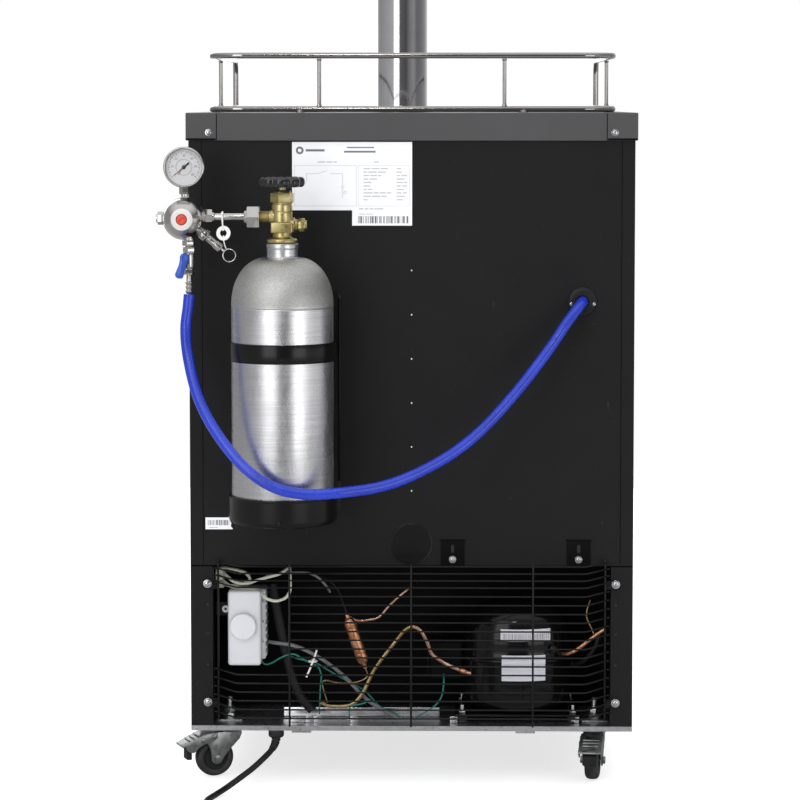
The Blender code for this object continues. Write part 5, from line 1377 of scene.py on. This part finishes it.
def shutoff():
    """The ball valve: hex ends, round body, a ridged barb, and its blue lever."""
    top = REG_UP - 36.3
    column = at(SHUTOFF_SIDE, TANK_OUT, 0)
    nut = hexagon(14.5, 8, facing(column + Vector((0, 0, top - 9)), UP, 0.5), 0.8)
    body = turned([(0, top - 30), (5.8, top - 30), (7, top - 27), (7.3, top - 15), (7, top - 9.5),
                   (5.5, top - 8.5), (5, top), (0, top)], column, segments=48, soft=1)
    low_nut = hexagon(13.5, 7.5, facing(column + Vector((0, 0, top - 37.5)), UP, 0.1), 0.8)
    profile = [(0, 667)]
    for k in range(3):
        low = 667.2 + 5.6 * k
        profile += [(3.4, low), (4.9, low + 3.6), (4.9, low + 4.2), (3.4, low + 5)]
    profile += [(3.4, top - 38), (0, top - 38)]
    barb = turned(profile, column, segments=40, soft=0.2)
    boss = turned([(0, -2), (5.2, -2), (5.2, 6), (4.2, 7.2), (4.2, 10), (0, 10)],
                  at(LEVER_SIDE, TANK_OUT, LEVER_UP), BACK, 40)
    piece("shutoff", "root", [([nut, body, low_nut, barb, boss], "nickel")], ["shutoff_body"])

    lean = -6
    outline = [
        (6.2 * math.cos(a), 6.2 * math.sin(a))
        for a in (math.radians(-12 + 204 * k / 14) for k in range(15))
    ]
    outline += [(-5.2 + lean * 0.35, -9), (-6.6 + lean, -21.5), (-5.8 + lean, -25.2), (-3 + lean, -27),
                (2.2 + lean, -27.4), (4.2 + lean, -25.6), (4.8 + lean, -22.5), (5 + lean * 0.35, -9)]
    front = from_behind(LEVER_SIDE, TANK_OUT + 10.3, LEVER_UP)
    lever = prism(outline, 6, front, 2.6, 5)
    grip = prism(
        [(u * 0.72 + lean * 0.28, v * 0.72 - 5) for u, v in outline], 1,
        front @ Matrix.Translation((0, 0, 5.5)), 0.6, 3
    )
    cap = turned([(0, -4), (5.8, -4), (5.8, 0.2), (4.6, 1.2), (3, 1.3), (2.6, 0.6), (0, 0.6)],
                 at(LEVER_SIDE, TANK_OUT + 16.1, LEVER_UP), BACK, 40, 0.4)
    piece(
        "blue_lever", "shutoff_lever", [(lever, "blue"), (grip, "blue"), (cap, "blue")],
        ["shutoff_lever"]
    )


def washer_and_ties():
    """The spare white washer that hangs from the inlet pipe on thin nylon ties."""
    centre = at(244.1, 95, 746.8)
    washer = turned(
        [(4.6, -0.9), (9.6, -0.9), (9.6, 0.9), (4.6, 0.9)], centre, Vector((0.25, 1, 0.1)), 56, 0.5,
        closed=True
    )
    loop = [
        at(245.7, TANK_OUT + 6.1 * math.cos(math.tau * k / 24), PORT_UP + 6.1 * math.sin(math.tau * k / 24))
        for k in range(24)
    ]
    strand = smooth_line(
        [at(245.7, 94.8, 770), at(245.5, 96.6, 764), at(244.8, 97, 756), at(244.3, 96.5, 750)], 2
    )
    head = box((244.3, 247.1), (93.2, 96.6), (771, 774.2), 0.5)
    drop = smooth_line(
        [at(244, 96.4, 744), at(243.6, 96.8, 737), at(242, 95.5, 730), at(240.8, 93, 726.2)], 2
    )
    parts = [
        (washer, "white_tie"), (tube(loop, 1.1, 10, closed=True), "white_tie"),
        (tube(strand, 1, 10), "white_tie"), (head, "white_tie"), (tube(drop, 0.7, 10), "white_tie")
    ]
    piece("spare_washer", "root", parts)


def grommet():
    flange = turned(
        [
            (HOSE_RADIUS + 0.4, 4.6), (11.8, 5), (15, 4.4), (18.6, 2.6), (19.6, 1.2), (19.6, 0.3),
            (9.5, 0.3), (9.5, -6), (HOSE_RADIUS + 0.4, -6)
        ],
        at(GROMMET_SIDE, 0, GROMMET_UP), BACK, 72, 0.8, closed=True
    )
    lip = turned(
        [(12.8, 4), (13.8, 5.2), (14.8, 4)], at(GROMMET_SIDE, 0, GROMMET_UP), BACK, 72, 0.4, closed=True
    )
    heads = [pan_head(at(GROMMET_SIDE + s * 15.2, 3.8, GROMMET_UP - 3.4), BACK, 2.4) for s in (-1, 1)]
    piece(
        "grommet", "root", [(flange, "dull_black"), (lip, "dull_black"), (heads, "steel")],
        ["hose_grommet"]
    )


# Compressor bay


def grille():
    """The rear grille: round wires with soft bends, welded to five uprights, and its lugs."""
    bulge, face = 47, 2.8
    ups = [301.4]
    for pitch in [9.5] * 3 + [11.75] * 15:
        ups.append(ups[-1] - pitch)
    wires = []
    for row, up in enumerate(ups):
        route = [(-266, face), (-262, face), (-232, bulge), (232, bulge), (262, face), (266, face)]
        if row in range(4, 13):
            route[3:] = [(162, bulge)]
        bent = eased(route, 6, 5)
        wires.append(tube([at(s, o, up) for s, o in bent], 1.15, 10))
    uprights = [(-260, face + 2.1), (260, face + 2.1), *((s, bulge + 2.1) for s in (-162, 0, 162))]
    rods = [rod(at(side, out, 86), at(side, out, 305), 1.4, 14, 0.4) for side, out in uprights]
    welds = []
    for side, out in uprights[2:]:
        for up in ups:
            bead = [(0, -1.3), (1.1, -0.9), (1.4, 0), (1.1, 0.9), (0, 1.3)]
            welds.append(turned(bead, at(side, out - 1.2, up), LEFT, 8, 0))
    lugs = [prism(rounded_rectangle(10, 6, 3), 3, from_behind(side, 0.8, up), 0.5)
            for side in (-269, 269) for up in (270, 109)]
    parts = [(wires, "wire"), (rods, "wire"), (welds, "wire"), (lugs, "bracket")]
    piece("grille", "root", parts, ["rear_grille"])


def can_radius(height):
    """The compressor can's radius across its short way, at a height above its foot."""
    outline = [(48, 2), (58, 14), (60, 30), (60, 77), (59, 105), (56, 122), (48, 137),
               (35, 148)]
    for (r0, h0), (r1, h1) in zip(outline, outline[1:]):
        if h0 <= height <= h1:
            return r0 + (r1 - r0) * (height - h0) / (h1 - h0)
    return 30


CAN_SIDE, CAN_OUT, CAN_FOOT, CAN_STRETCH = -143.7, -70, 88, 1.24


def on_can(side, up, lift):
    r = can_radius(up - CAN_FOOT) + lift
    reach = math.sqrt(max(r * r - ((side - CAN_SIDE) / CAN_STRETCH) ** 2, 0))
    return at(side, CAN_OUT + reach, up)


def patch(side, up, lift, thick, steps=(12, 4)):
    """A thin closed sheet that follows the compressor can between two sides and two heights."""
    shape = bmesh.new()
    grids = []
    for layer in (lift, lift + thick):
        grid = []
        for i in range(steps[0] + 1):
            across = side[0] + (side[1] - side[0]) * i / steps[0]
            heights = [up[0] + (up[1] - up[0]) * j / steps[1] for j in range(steps[1] + 1)]
            grid.append([shape.verts.new(on_can(across, height, layer) * MM) for height in heights])
        grids.append(grid)
    for grid in grids:
        for i in range(steps[0]):
            for j in range(steps[1]):
                shape.faces.new((grid[i][j], grid[i + 1][j], grid[i + 1][j + 1], grid[i][j + 1]))
    near, far = grids
    edge = [(i, 0) for i in range(steps[0])] + [(steps[0], j) for j in range(steps[1])]
    edge += [(i, steps[1]) for i in range(steps[0], 0, -1)] + [(0, j) for j in range(steps[1], 0, -1)]
    for (a, b), (c, d) in zip(edge, edge[1:] + edge[:1]):
        shape.faces.new((near[a][b], near[c][d], far[c][d], far[a][b]))
    return shape


def compressor():
    centre = at(CAN_SIDE, CAN_OUT, CAN_FOOT)
    widen = Matrix.Diagonal((CAN_STRETCH, 1, 1, 1))
    stretch = Matrix.Translation(centre) @ widen @ Matrix.Translation(-centre)
    can = turned([(0, 0), (48, 2), (58, 14), (60, 30), (60, 71.8), (63.2, 72.6), (63.5, 74.8),
                  (63, 76.8), (60, 77.6), (59.7, 92), (59, 105), (57.8, 115), (56, 122),
                  (52.6, 130.3), (48, 137), (42, 143.2), (35, 148), (27, 151.4), (18, 153.5),
                  (0, 155)], centre, segments=112, soft=4)
    moved(can, stretch)
    plate = box((-228.7, -58.7), (-122, -18), (86.2, 89.3), 1.2)
    feet, bolts = [], []
    for side in (-218.7, -68.7):
        for out in (-112, -28):
            feet.append(turned([(0, 0), (8.8, 0), (9.2, 2), (7, 4.6), (9.2, 7), (8.8, 8.8), (0, 8.8)],
                               at(side, out, 77.3), UP, 36, 0.8))
            bolts.append(hexagon(8, 5, facing(at(side, out, 89.3), UP, 0.4), 0.6))
            bolts.append(rod(at(side, out, 94.3), at(side, out, 101), 2.6, 20))
    cover = box((-70, -24), (-108, -56), (129, 182), 5, 4)
    box_lid = box((-25, -20), (-104, -60), (134, 177), 1.6)
    stub_place = at(-220, -68, 150)
    stub = turned(
        [(0, 0), (5, 0), (4.6, 10), (3.6, 12), (0, 12)], stub_place + Vector((10, -4, 0)), (-1, 0.4, 0.05),
        32
    )
    plug = turned([(0, 0), (6, 0), (6, 6), (4, 7.5), (0, 8)], on_can(-190, 178, -1), (-0.5, 1, 0.1), 28)
    upper_label = patch((-187.6, -120.3), (190.6, 206.7), 0.4, 0.3)
    lower_label = patch((-180.9, -121.7), (136.7, 162.2), 0.4, 0.3)
    lower_top = patch((-180.9, -121.7), (165.5, 171.7), 0.4, 0.3)
    middle_label = patch((-180.9, -121.7), (160, 166), 3.4, 0.3)
    draw = random.Random(31)
    codes, run = [], -185.5
    while run < -123.5:
        width = draw.choice((0.5, 0.5, 1))
        codes.append(patch((run, run + width), (193, 200.5), 0.8, 0.1, (2, 3)))
        run += width + draw.choice((1.2, 2))
    lines = []
    for up in (141, 145.5, 150.5, 155, 169):
        run = -178.5
        while run < -126:
            width = draw.uniform(4, 12)
            lines.append(patch((run, min(run + width, -124)), (up, up + 0.8), 0.8, 0.1, (3, 1)))
            run += width + 3
    parts = [
        (can, "can"), (plate, "bracket"), (feet, "rubber"), (bolts, "steel"), (cover, "bay"),
        (box_lid, "bay"), (stub, "dull_black"), (plug, "bracket"),
        ([upper_label, lower_label, lower_top, middle_label], "sheet"), (codes, "ink"), (lines, "faint")
    ]
    piece("compressor_unit", "root", parts, ["compressor"])


def pipe(route, radius, look, step=3, sides=16):
    return tube(smooth_line([at(*p) for p in route], step), radius, sides), look


def copper_work():
    """The filter dryer, the pipes to the compressor and the thin capillary."""
    top, bottom = at(85.5, -20, 219), at(64.9, -20, 159)
    length = (top - bottom).length
    profile = [(0, -8), (2.5, -8), (2.7, -4), (4, -1), (7.2, 3), (8.5, 7.5), (8.5, 14),
               (8.1, 15), (8.5, 16), (8.5, length - 14), (8, length - 12), (8.5, length - 10),
               (8.2, length - 5), (6, length), (3, length + 3), (2.5, length + 8), (0, length + 8)]
    body = turned(profile, bottom, top - bottom, 48, 1)
    piece("dryer", "root", [(body, "copper")], ["filter_dryer"])

    discharge = [(124, -30, 103), (110, -30, 98), (83, -30, 100), (67, -30, 116), (50, -30, 150),
                 (23, -30, 186), (9, -30, 203), (-1, -30, 208)]
    onward = [(-1, -30, 208), (-12, -31, 202), (-21, -34, 185), (-28, -38, 168), (-45, -44, 155),
              (-62, -46, 146.5), (-76, -41.5, 142.5), (-87, -40, 140.5)]
    joint = turned([(0, 0), (3, 0), (3.9, 3), (3.9, 9), (3, 12), (0, 12)], at(-64.5, -45.2, 145.8),
                   at(-76, -41.5, 142.5) - at(-64.5, -45.2, 145.8), 28)
    # The pipe onward uses the lighter copper, whose extra brightness is a painted highlight
    piece(
        "discharge_pipe", "root",
        [pipe(discharge, 2.8, "old_brass"), pipe(onward, 2.8, "highlit_copper"), (joint, "copper")],
        ["discharge_tube"]
    )

    suction = [(-220, -68, 150), (-226, -62, 151), (-236, -46, 160), (-248, -34, 178), (-255, -30, 198)]
    whip = [
        (-243, -52, 240.8), (-238.3, -48, 227.3), (-238.3, -46, 216.4), (-244, -42, 204.3), (-250, -38, 190)
    ]
    branch = [(-203, -40, 169), (-211, -31, 170.5), (-223, -27, 176.5), (-236, -28, 186),
              (-249, -30, 196), (-261, -30, 204)]
    piece(
        "suction_pipe", "root",
        [pipe(suction, 3, "dull_black"), pipe(whip, 1, "old_brass", sides=10), pipe(branch, 3, "copper")],
        ["suction_tube"]
    )

    upper = [(86.5, -20, 223.5), (74, -22, 217), (59.2, -22, 217.9), (44.3, -22, 222), (30.8, -24, 236.8),
             (17.3, -28, 249), (5.1, -34, 258.4), (-10, -60, 268)]
    lower = [(62.5, -20, 152), (60.5, -22, 140), (76.7, -22, 132.2), (99.7, -22, 131.5), (115.9, -22, 135),
             (121.3, -23, 131), (118.6, -24, 118), (114.5, -26, 104)]
    back = [(87, -20, 225.5), (93, -26, 240), (100, -34, 256), (115, -40, 270), (145, -44, 279)]
    # The upper capillary uses the lighter copper, whose extra brightness is a painted highlight
    piece(
        "capillaries", "root",
        [
            pipe(upper, 1.7, "highlit_copper"), pipe(lower, 1, "old_brass", sides=10),
            pipe(back, 1.2, "dull_black", sides=10)
        ]
    )


def wiring():
    """The bay's loose wires, their white connector and a nylon tie, all held at both ends."""
    ivory = [
        [(260, -40, 284), (248.9, -30, 274.5), (238, -28, 267.5), (223.1, -28, 266.2), (209.6, -30, 270.6),
         (194.7, -32, 274.6), (178.5, -36, 279), (166.3, -45, 286)],
        [(260, -40, 271.9), (247.5, -26, 264), (232.6, -24, 260.8), (216.4, -24, 260), (206.9, -24, 256),
         (197.4, -24, 247), (186.6, -26, 243), (177.1, -28, 244), (169, -30, 248.9), (165, -34, 259.7),
         (166.3, -45, 286)],
        [(260, -42, 265), (246.8, -34, 262.5), (231.9, -32, 265), (219.6, -32, 270), (225.1, -36, 279),
         (238.6, -40, 283), (259, -45, 286)],
    ]
    grey = [
        [(199, -45, 274), (178.8, -40, 278), (155.8, -35, 280.5), (139.5, -35, 279.5), (127.3, -35, 273.8),
         (116.5, -40, 261.6), (112, -60, 250)],
        [(204.5, -60, 183), (190, -45, 182.6), (161.3, -38, 179.7), (138.3, -38, 170.2), (113.9, -38, 155.3),
         (90.8, -38, 136.3), (66.4, -38, 110.5), (51.5, -38, 98.3), (35.2, -38, 88.8), (21.7, -38, 81)],
    ]
    green = [
        [
            (208.5, -50, 162), (200.4, -34, 154.7), (190.9, -34, 156.1), (177.4, -40, 163),
            (161.2, -38, 167.9), (147.7, -36, 161.1), (136.8, -36, 155.7), (127.3, -36, 150.3),
            (123.3, -36, 138.1), (124.6, -38, 120.4), (126, -40, 85)
        ],
        [
            (170, -50, 164), (152.1, -42, 159.9), (131.7, -40, 155.8), (111.3, -42, 143.6),
            (84.2, -46, 127.3), (65.2, -46, 116.5), (54.3, -46, 105.6), (43.5, -44, 94.8),
            (24.5, -42, 86.6), (15, -42, 80.5)
        ],
        [(56, -22, 109), (64, -24, 103.5), (74.4, -24, 101), (83.8, -24, 98), (84.5, -24, 81)],
        [
            (-43.4, -60, 140), (-43.4, -44, 127.7), (-40.7, -40, 110.1), (-32.5, -40, 97.9),
            (-19, -40, 88.4), (-5, -40, 80.5)
        ],
    ]
    black = [
        [(190, -60, 260), (185.1, -55, 231.7), (179.7, -52, 205.9), (172.9, -50, 171.9), (164.7, -50, 137.9),
         (152.5, -50, 108), (136.2, -50, 88)],
    ]
    parts = [pipe(route, 2.1, "ivory", sides=10) for route in ivory]
    parts += [pipe(grey[0], 1.7, "grey", sides=10), pipe(grey[1], 2.6, "grey", sides=12)]
    parts += [pipe(route, 1.1, "green", sides=10) for route in green]
    parts += [pipe(route, 6.5, "dull_black", sides=16) for route in black]
    connector = [box((255.5, 267.2), (-52, -38), (258.5, 286.8), 1.4)]
    connector += [box((256.8, 266), (-38.5, -34.5), (261 + 8.8 * k, 267 + 8.8 * k), 0.8) for k in range(3)]
    parts.append((connector, "ivory"))
    parts.append(
        pipe([(129, -31, 174.5), (135.2, -31, 156.9), (143.3, -31, 137.5)], 1.3, "white_tie", sides=8)
    )
    loop = [
        at(134.7 + 5.2 * math.cos(math.tau * k / 20), -37 + 6 * math.sin(math.tau * k / 20), 158.5)
        for k in range(20)
    ]
    parts.append((tube(loop, 1.2, 8, closed=True), "white_tie"))
    piece("bay_wiring", "root", parts)


def bay_floor():
    """What stands on the base inside the bay: mounting rails, caster bolts and earth screws."""
    rails = [
        box((-38, 176), (-78, -60), (77.5, 90.5), 1.2),
        box((138, 166), (-30, -22), (77.5, 83), 0.8),
    ]
    bolts, heads = [], []
    for side in (-249, 249):
        bolts.append(hexagon(13, 8, facing(at(side, -48, 77.5), UP, 0.3), 0.8))
        bolts.append(hexagon(13, 6, facing(at(side, -48, 87), UP, 0.7), 0.8))
        profile = [(0, 0)]
        for k in range(12):
            profile += [(4, 0.2 + 2.5 * k), (3.5, 1.4 + 2.5 * k)]
        bolts.append(turned([*profile, (4, 30), (0, 30.5)], at(side, -48, 77.5), UP, 28, 0.1))
        bolts.append(box((side - 18, side + 18), (-66, -30), (77.2, 79), 0.6))
    for side in (138.7, 127.9, 78, -57, -221.7):
        heads.append(pan_head(at(side, -19.5, 81.5), BACK, 3))
        heads.append(box((side - 5, side + 5), (-21, -19.5), (77.4, 86), 0.4))
    piece("bay_floor", "root", [(rails, "steel"), (bolts, "zinc"), (heads, "steel")])


def thermostat():
    """The thermostat's white box with its ribbed cover behind, its ear, and the round dial."""
    front = box((203.7, 248.5), (-40, -10), (156.9, 258.8), 4.2, 5)
    rear = box((199, 247), (-85, -40.5), (160, 256), 3, 4)
    ribs = [box((197.8, 201), (-80, -46), (164 + 10 * k, 168 + 10 * k), 0.8) for k in range(9)]
    clips = [box((201, 204.5), (-46, -34), (up - 5, up + 5), 0.8) for up in (180, 208, 236)]
    ear = box((244, 266), (-30, -27.2), (222.5, 241), 0.9)
    boss = turned(
        [(1.8, 0), (4.8, 0), (4.8, 2.2), (1.8, 2.2)], at(252.5, -27.4, 231.8), BACK, 32, 0.5, closed=True
    )
    seat = turned(
        [(17, -0.4), (19.6, -0.4), (19, 0.6), (17, 0.6)], at(227.4, -10.2, 211.4), BACK, 72, closed=True
    )
    parts = [
        (front, "white"), (rear, "white"), (ribs, "white"), (clips, "white"), (ear, "dull_black"),
        (boss, "white"), (seat, "white")
    ]
    piece("thermostat", "root", parts, ["thermostat_box"])

    centre = at(227.4, -9.7, 211.4)
    knob = turned([(0, 0.2), (18.2, 0.2), (18.2, 5.8), (17.4, 7.8), (15.8, 8.5), (0, 8.1)],
                  centre, BACK, 96, 1)
    notch = prism([(-0.7, -15), (0.7, -15), (0.7, -10.5), (-0.7, -10.5)], 4,
                  from_behind(227.4, -9.7 + 7.7, 211.4))
    piece(
        "dial_knob", "thermostat_knob", [(cut(knob, notch), "white")], ["thermostat_knob"]
    )


# Casters


def caster(place, side, out, heading):
    """A swivel caster: raceway, pressed fork, wheel on its bolt and, at the rear, the brake."""
    stem = at(side, out, BASE_BOTTOM)
    turn = Matrix.Translation(stem) @ Matrix.Rotation(heading, 4, "Z")
    axle_up, trail = 26.2 - BASE_BOTTOM, 22.5
    race = turned(
        [(0, -6), (17.6, -6), (19, -4.4), (19, -1.6), (17, -0.3), (0, -0.3)], (0, 0, 0), segments=56
    )
    seal = turned([(0, -7.8), (15.8, -7.8), (15.8, -5.8), (0, -5.8)], (0, 0, 0), segments=56)
    crown = turned(
        [(0, -10), (12, -10), (16.6, -9.6), (17.6, -8), (16, -7.4), (0, -7.4)], (0, 0, 0), segments=56
    )
    roof = prism(
        [(-12, -13.7), (23.5, -13.7), (23.5, 13.7), (-12, 13.7)], 2, Matrix.Translation((0, 0, -10.4)), 0.9
    )
    outline = [(-12.5, -8.4), (-13, -12), (-10, -19), (6, -35), (12.5, axle_up + 1)]
    outline += [
        (trail + 8.2 * math.cos(a), axle_up + 8.2 * math.sin(a))
        for a in (math.radians(200 + 14 * k) for k in range(11))
    ]
    outline += [(31, axle_up + 9), (33, -29), (37, -20), (35, -12), (30, -8.4)]
    legs = [prism(outline, 1.8, Matrix.Translation((0, y, 0)) @ UPRIGHT, 0.5) for y in (-12, 13.8)]
    axle = rod((trail, -15, axle_up), (trail, 15, axle_up), 3.4, 28)
    bolt = hexagon(9.2, 3, facing(Vector((trail, -13.8, axle_up)), FORWARD), 0.7)
    nut = hexagon(9.2, 3.4, facing(Vector((trail, 13.8, axle_up)), BACK), 0.7)
    bumps = [
        turned([(0, 0), (3.2, 0), (2.2, 1.3), (0, 1.6)], (26, s * 13.7, -15), (0, s, 0), 28, 0.5)
        for s in (-1, 1)
    ]
    parts = [
        (race, "fork"), (seal, "dull_black"), (crown, "fork"), (roof, "fork"), (legs, "fork"),
        (axle, "steel"), (bolt, "fork"), (nut, "fork"), (bumps, "fork")
    ]
    piece(f"fork_{place}", f"caster_swivel_{place}", parts, [f"caster_fork_{place}"], turn)

    r, w = 26.2, 9.5
    tyre = [(16.5, -w + 1), (20, -w), (r - 5, -w), (r - 1.2, -w + 2.2), (r, -3), (r, 3), (r - 1.2, w - 2.2),
            (r - 5, w), (20, w), (16.5, w - 1)]
    hub = [(4.2, -w - 1), (7.8, -w - 1), (8.6, -w + 2), (15, -w + 2.6), (16.8, -w + 1.2),
           (16.8, w - 1.2), (15, w - 2.6), (8.6, w - 2), (7.8, w + 1), (4.2, w + 1)]
    centre = Vector((trail, 0, axle_up))
    wheel = [
        (turned(tyre, centre, BACK, 80, 1.2, closed=True), "tyre"),
        (turned(hub, centre, BACK, 64, 0.6, closed=True), "dull_black")
    ]
    piece(f"wheel_{place}", f"caster_wheel_{place}", wheel, [f"caster_wheel_{place}"], turn)
    if place.startswith("rear"):
        brake(place, turn)


def brake(place, turn):
    """The brake: a pressed tread with folded sides, its pivot bumps and the black shoe under it."""
    tread = [(21.5, -8.5), (40, -9.5), (56, -16.5), (71.6, -24), (72.2, -25.2), (71.4, -26.6),
             (70, -26.2), (55, -18.2), (39.6, -11.2), (21.5, -10.1)]
    sheet = prism(eased([*tread], 4, 4), 31, Matrix.Translation((0, 15.5, 0)) @ UPRIGHT, 0.4)
    flange = [(21.5, -9), (40, -10), (56, -17), (69, -23.5), (64, -32), (56, -35),
              (50, -29), (42, -24), (30, -21.5), (22.5, -17)]
    sides = [
        prism(eased([*flange, flange[0]], 3, 4)[:-1], 1.2, Matrix.Translation((0, y, 0)) @ UPRIGHT, 0.4)
        for y in (-14.3, 15.5)
    ]
    step = Vector((6, 0, -2.8))
    low, high = Vector((48, -11, -13)), Vector((50, 11, -11.2))
    ribs = [block(low + step * k, high + step * k, 0.5) for k in range(3)]
    pivots = [turned([(0, 0), (3.4, 0), (3, 1.2), (0, 1.6)], (x, s * 15.4, z), (0, s, 0), 28, 0.5)
              for s in (-1, 1) for x, z in ((27, -14), (43, -18))]
    shoe = block(Vector((56.6, -9.2, -45)), Vector((63.6, 9.2, -30)), 1.6)
    arm = block(Vector((56, -6, -32)), Vector((60, 6, -18.5)), 0.8)
    parts = [
        (sheet, "fork"), (sides, "fork"), (ribs, "fork"), (pivots, "fork"), (shoe, "dull_black"),
        (arm, "dull_black")
    ]
    piece(f"brake_{place}", f"brake_pedal_{place}", parts, [f"brake_pedal_{place}"], turn)


def casters():
    rear, front = -48, 48 - 585
    caster("rear_left", 249, rear, math.radians(22))
    caster("rear_right", -249, rear, math.radians(82))
    caster("front_left", 249, front, math.radians(60))
    caster("front_right", -249, front, math.radians(100))


# Studio


def softbox(name, azimuth, width, distance, height, brightness, pull=0.0):
    """A rectangular light facing the object, its azimuth in degrees from +Y towards +X."""
    angle = math.radians(azimuth)
    middle = (height[0] + height[1]) / 2
    light = bpy.data.lights.new(name, "AREA")
    light.shape = "RECTANGLE"
    light.size, light.size_y = width, height[1] - height[0]
    light.energy = brightness * math.pi * light.size * light.size_y
    made = bpy.data.objects.new(name, light)
    made.location = (math.sin(angle) * distance, math.cos(angle) * distance, middle)
    made.rotation_euler = (Vector((0, 0, middle - pull)) - made.location).to_track_quat("-Z", "Y").to_euler()
    made.visible_camera = False
    bpy.context.collection.objects.link(made)


def surroundings():
    """Surroundings that are white to the eye, and grey bands to the bright metal and to the light."""
    world = bpy.data.worlds.new("studio")
    bpy.context.scene.world = world
    world.use_nodes = True
    world.node_tree.nodes.clear()
    sky = Nodes(world.node_tree)
    split = sky.node("ShaderNodeSeparateXYZ")
    sky.link(sky.node("ShaderNodeTexCoord").outputs["Generated"], split.inputs[0])
    around = sky.node("ShaderNodeMath", operation="ARCTAN2")
    sky.link(split.outputs["X"], around.inputs[0])
    sky.link(split.outputs["Y"], around.inputs[1])
    bands = sky.node("ShaderNodeValToRGB")
    sky.link(sky.ranged(around.outputs[0], 0, 1, -math.pi, math.pi), bands.inputs["Fac"])
    tones = [(-180, 0.60), (-150, 0.55), (-125, 0.30), (-100, 0.20), (-75, 0.16), (-55, 0.30), (-36, 0.20)]
    tones += [(-20, 0.08), (16, 0.14), (38, 0.50), (60, 0.42), (110, 0.32), (150, 0.34), (180, 0.60)]
    ramp = bands.color_ramp.elements
    while len(ramp) < len(tones):
        ramp.new(0.5)
    for stop, (azimuth, tone) in zip(ramp, tones):
        stop.position = (azimuth + 180) / 360
        stop.color = (tone, tone, tone * 1.03, 1)
    height = sky.ranged(split.outputs["Z"], 0, 1, 0.35, 0.85)
    seen, lit = sky.node("ShaderNodeBackground"), sky.node("ShaderNodeBackground")
    seen.inputs["Color"].default_value = (1, 1, 1, 1)
    sky.link(sky.mixed(bands.outputs["Color"], (0.95, 0.95, 0.97, 1), height), lit.inputs["Color"])
    either = sky.node("ShaderNodeMixShader")
    sky.link(sky.node("ShaderNodeLightPath").outputs["Is Camera Ray"], either.inputs["Fac"])
    sky.link(lit.outputs[0], either.inputs[1])
    sky.link(seen.outputs[0], either.inputs[2])
    sky.link(either.outputs[0], sky.node("ShaderNodeOutputWorld").inputs["Surface"])


def lamps():
    """Soft boxes at the sides, a small bright one above, and a ceiling that gives no highlight."""
    softbox("left_box", 25, 1.40, 3.2, (0.05, 3.0), 2.2)
    softbox("right_box", -34, 1.45, 3.0, (0.02, 1.12), 2.2)
    softbox("right_screen", -80, 3.2, 3.0, (0.02, 0.95), 0.55)
    softbox("front_box", 165, 2.2, 3.2, (0.4, 2.4), 1.4)
    softbox("key", 4, 0.34, 3.2, (2.55, 2.90), 24.0)
    sun = bpy.data.lights.new("ceiling", "SUN")
    sun.energy = 2.2
    sun.angle = math.radians(100)
    made = bpy.data.objects.new("ceiling", sun)
    made.location = (0, 0, 4)
    made.visible_glossy = False
    bpy.context.collection.objects.link(made)


def ground():
    floor = bpy.data.objects.new("floor", bpy.data.meshes.new("floor"))
    shape = bmesh.new()
    bmesh.ops.create_circle(shape, cap_ends=True, segments=96, radius=2.9)
    shape.to_mesh(floor.data)
    shape.free()
    pale = Look("floor_pale", (0.50, 0.50, 0.50), 0.7)
    pale.shader.inputs["Emission Color"].default_value = (1, 1, 1, 1)
    pale.tinted(pale.noise(0.8, 3), 0.008)
    glint = pale.node("ShaderNodeLightPath").outputs["Is Glossy Ray"]
    pale.over(glint, (0.26, 0.26, 0.26), 0, 1)
    pale.link(pale.ranged(glint, 0.70, 0.0, 0, 1), pale.shader.inputs["Emission Strength"])
    floor.data.materials.append(pale.material)
    bpy.context.collection.objects.link(floor)


def studio():
    surroundings()
    lamps()
    ground()
    bpy.context.scene.view_settings.view_transform = "Standard"
    bpy.context.scene.view_settings.look = "None"


# Making


make_camera()
LOOKS = make_looks()
make_cords()
studio()
repaint(
    {
        "paint": ["side_panel_left", "side_panel_right", "back_panel", "door_shell"],
        # The bay liner gets the darker paint, whose extra darkness is painted shade of the recessed bay
        "bay": ["bay_liner"],
        "cap": ["top_panel", "top_rear_strip"],
        "liner": ["insulated_liner", "door_liner"],
        "plate": ["evaporator_plate"],
        "strip": ["base_plate"],
        "zinc": ["hinge_upper", "hinge_lower"],
        "rubber": ["door_gasket"],
        "black": ["drip_tray"],
        "steel": ["drip_grate"],
    }
)
for make in (
    screws, column_holes, panel_marks, rating_label, sticker, cap_details, guard_rail, tower, faucet,
    door_grip, cylinder, valve, handwheel, bracket, regulator, relief_ring, inlet_nut, gauge, shutoff,
    washer_and_ties, grommet, grille, compressor, copper_work, wiring, bay_floor, thermostat, casters,
):
    make()
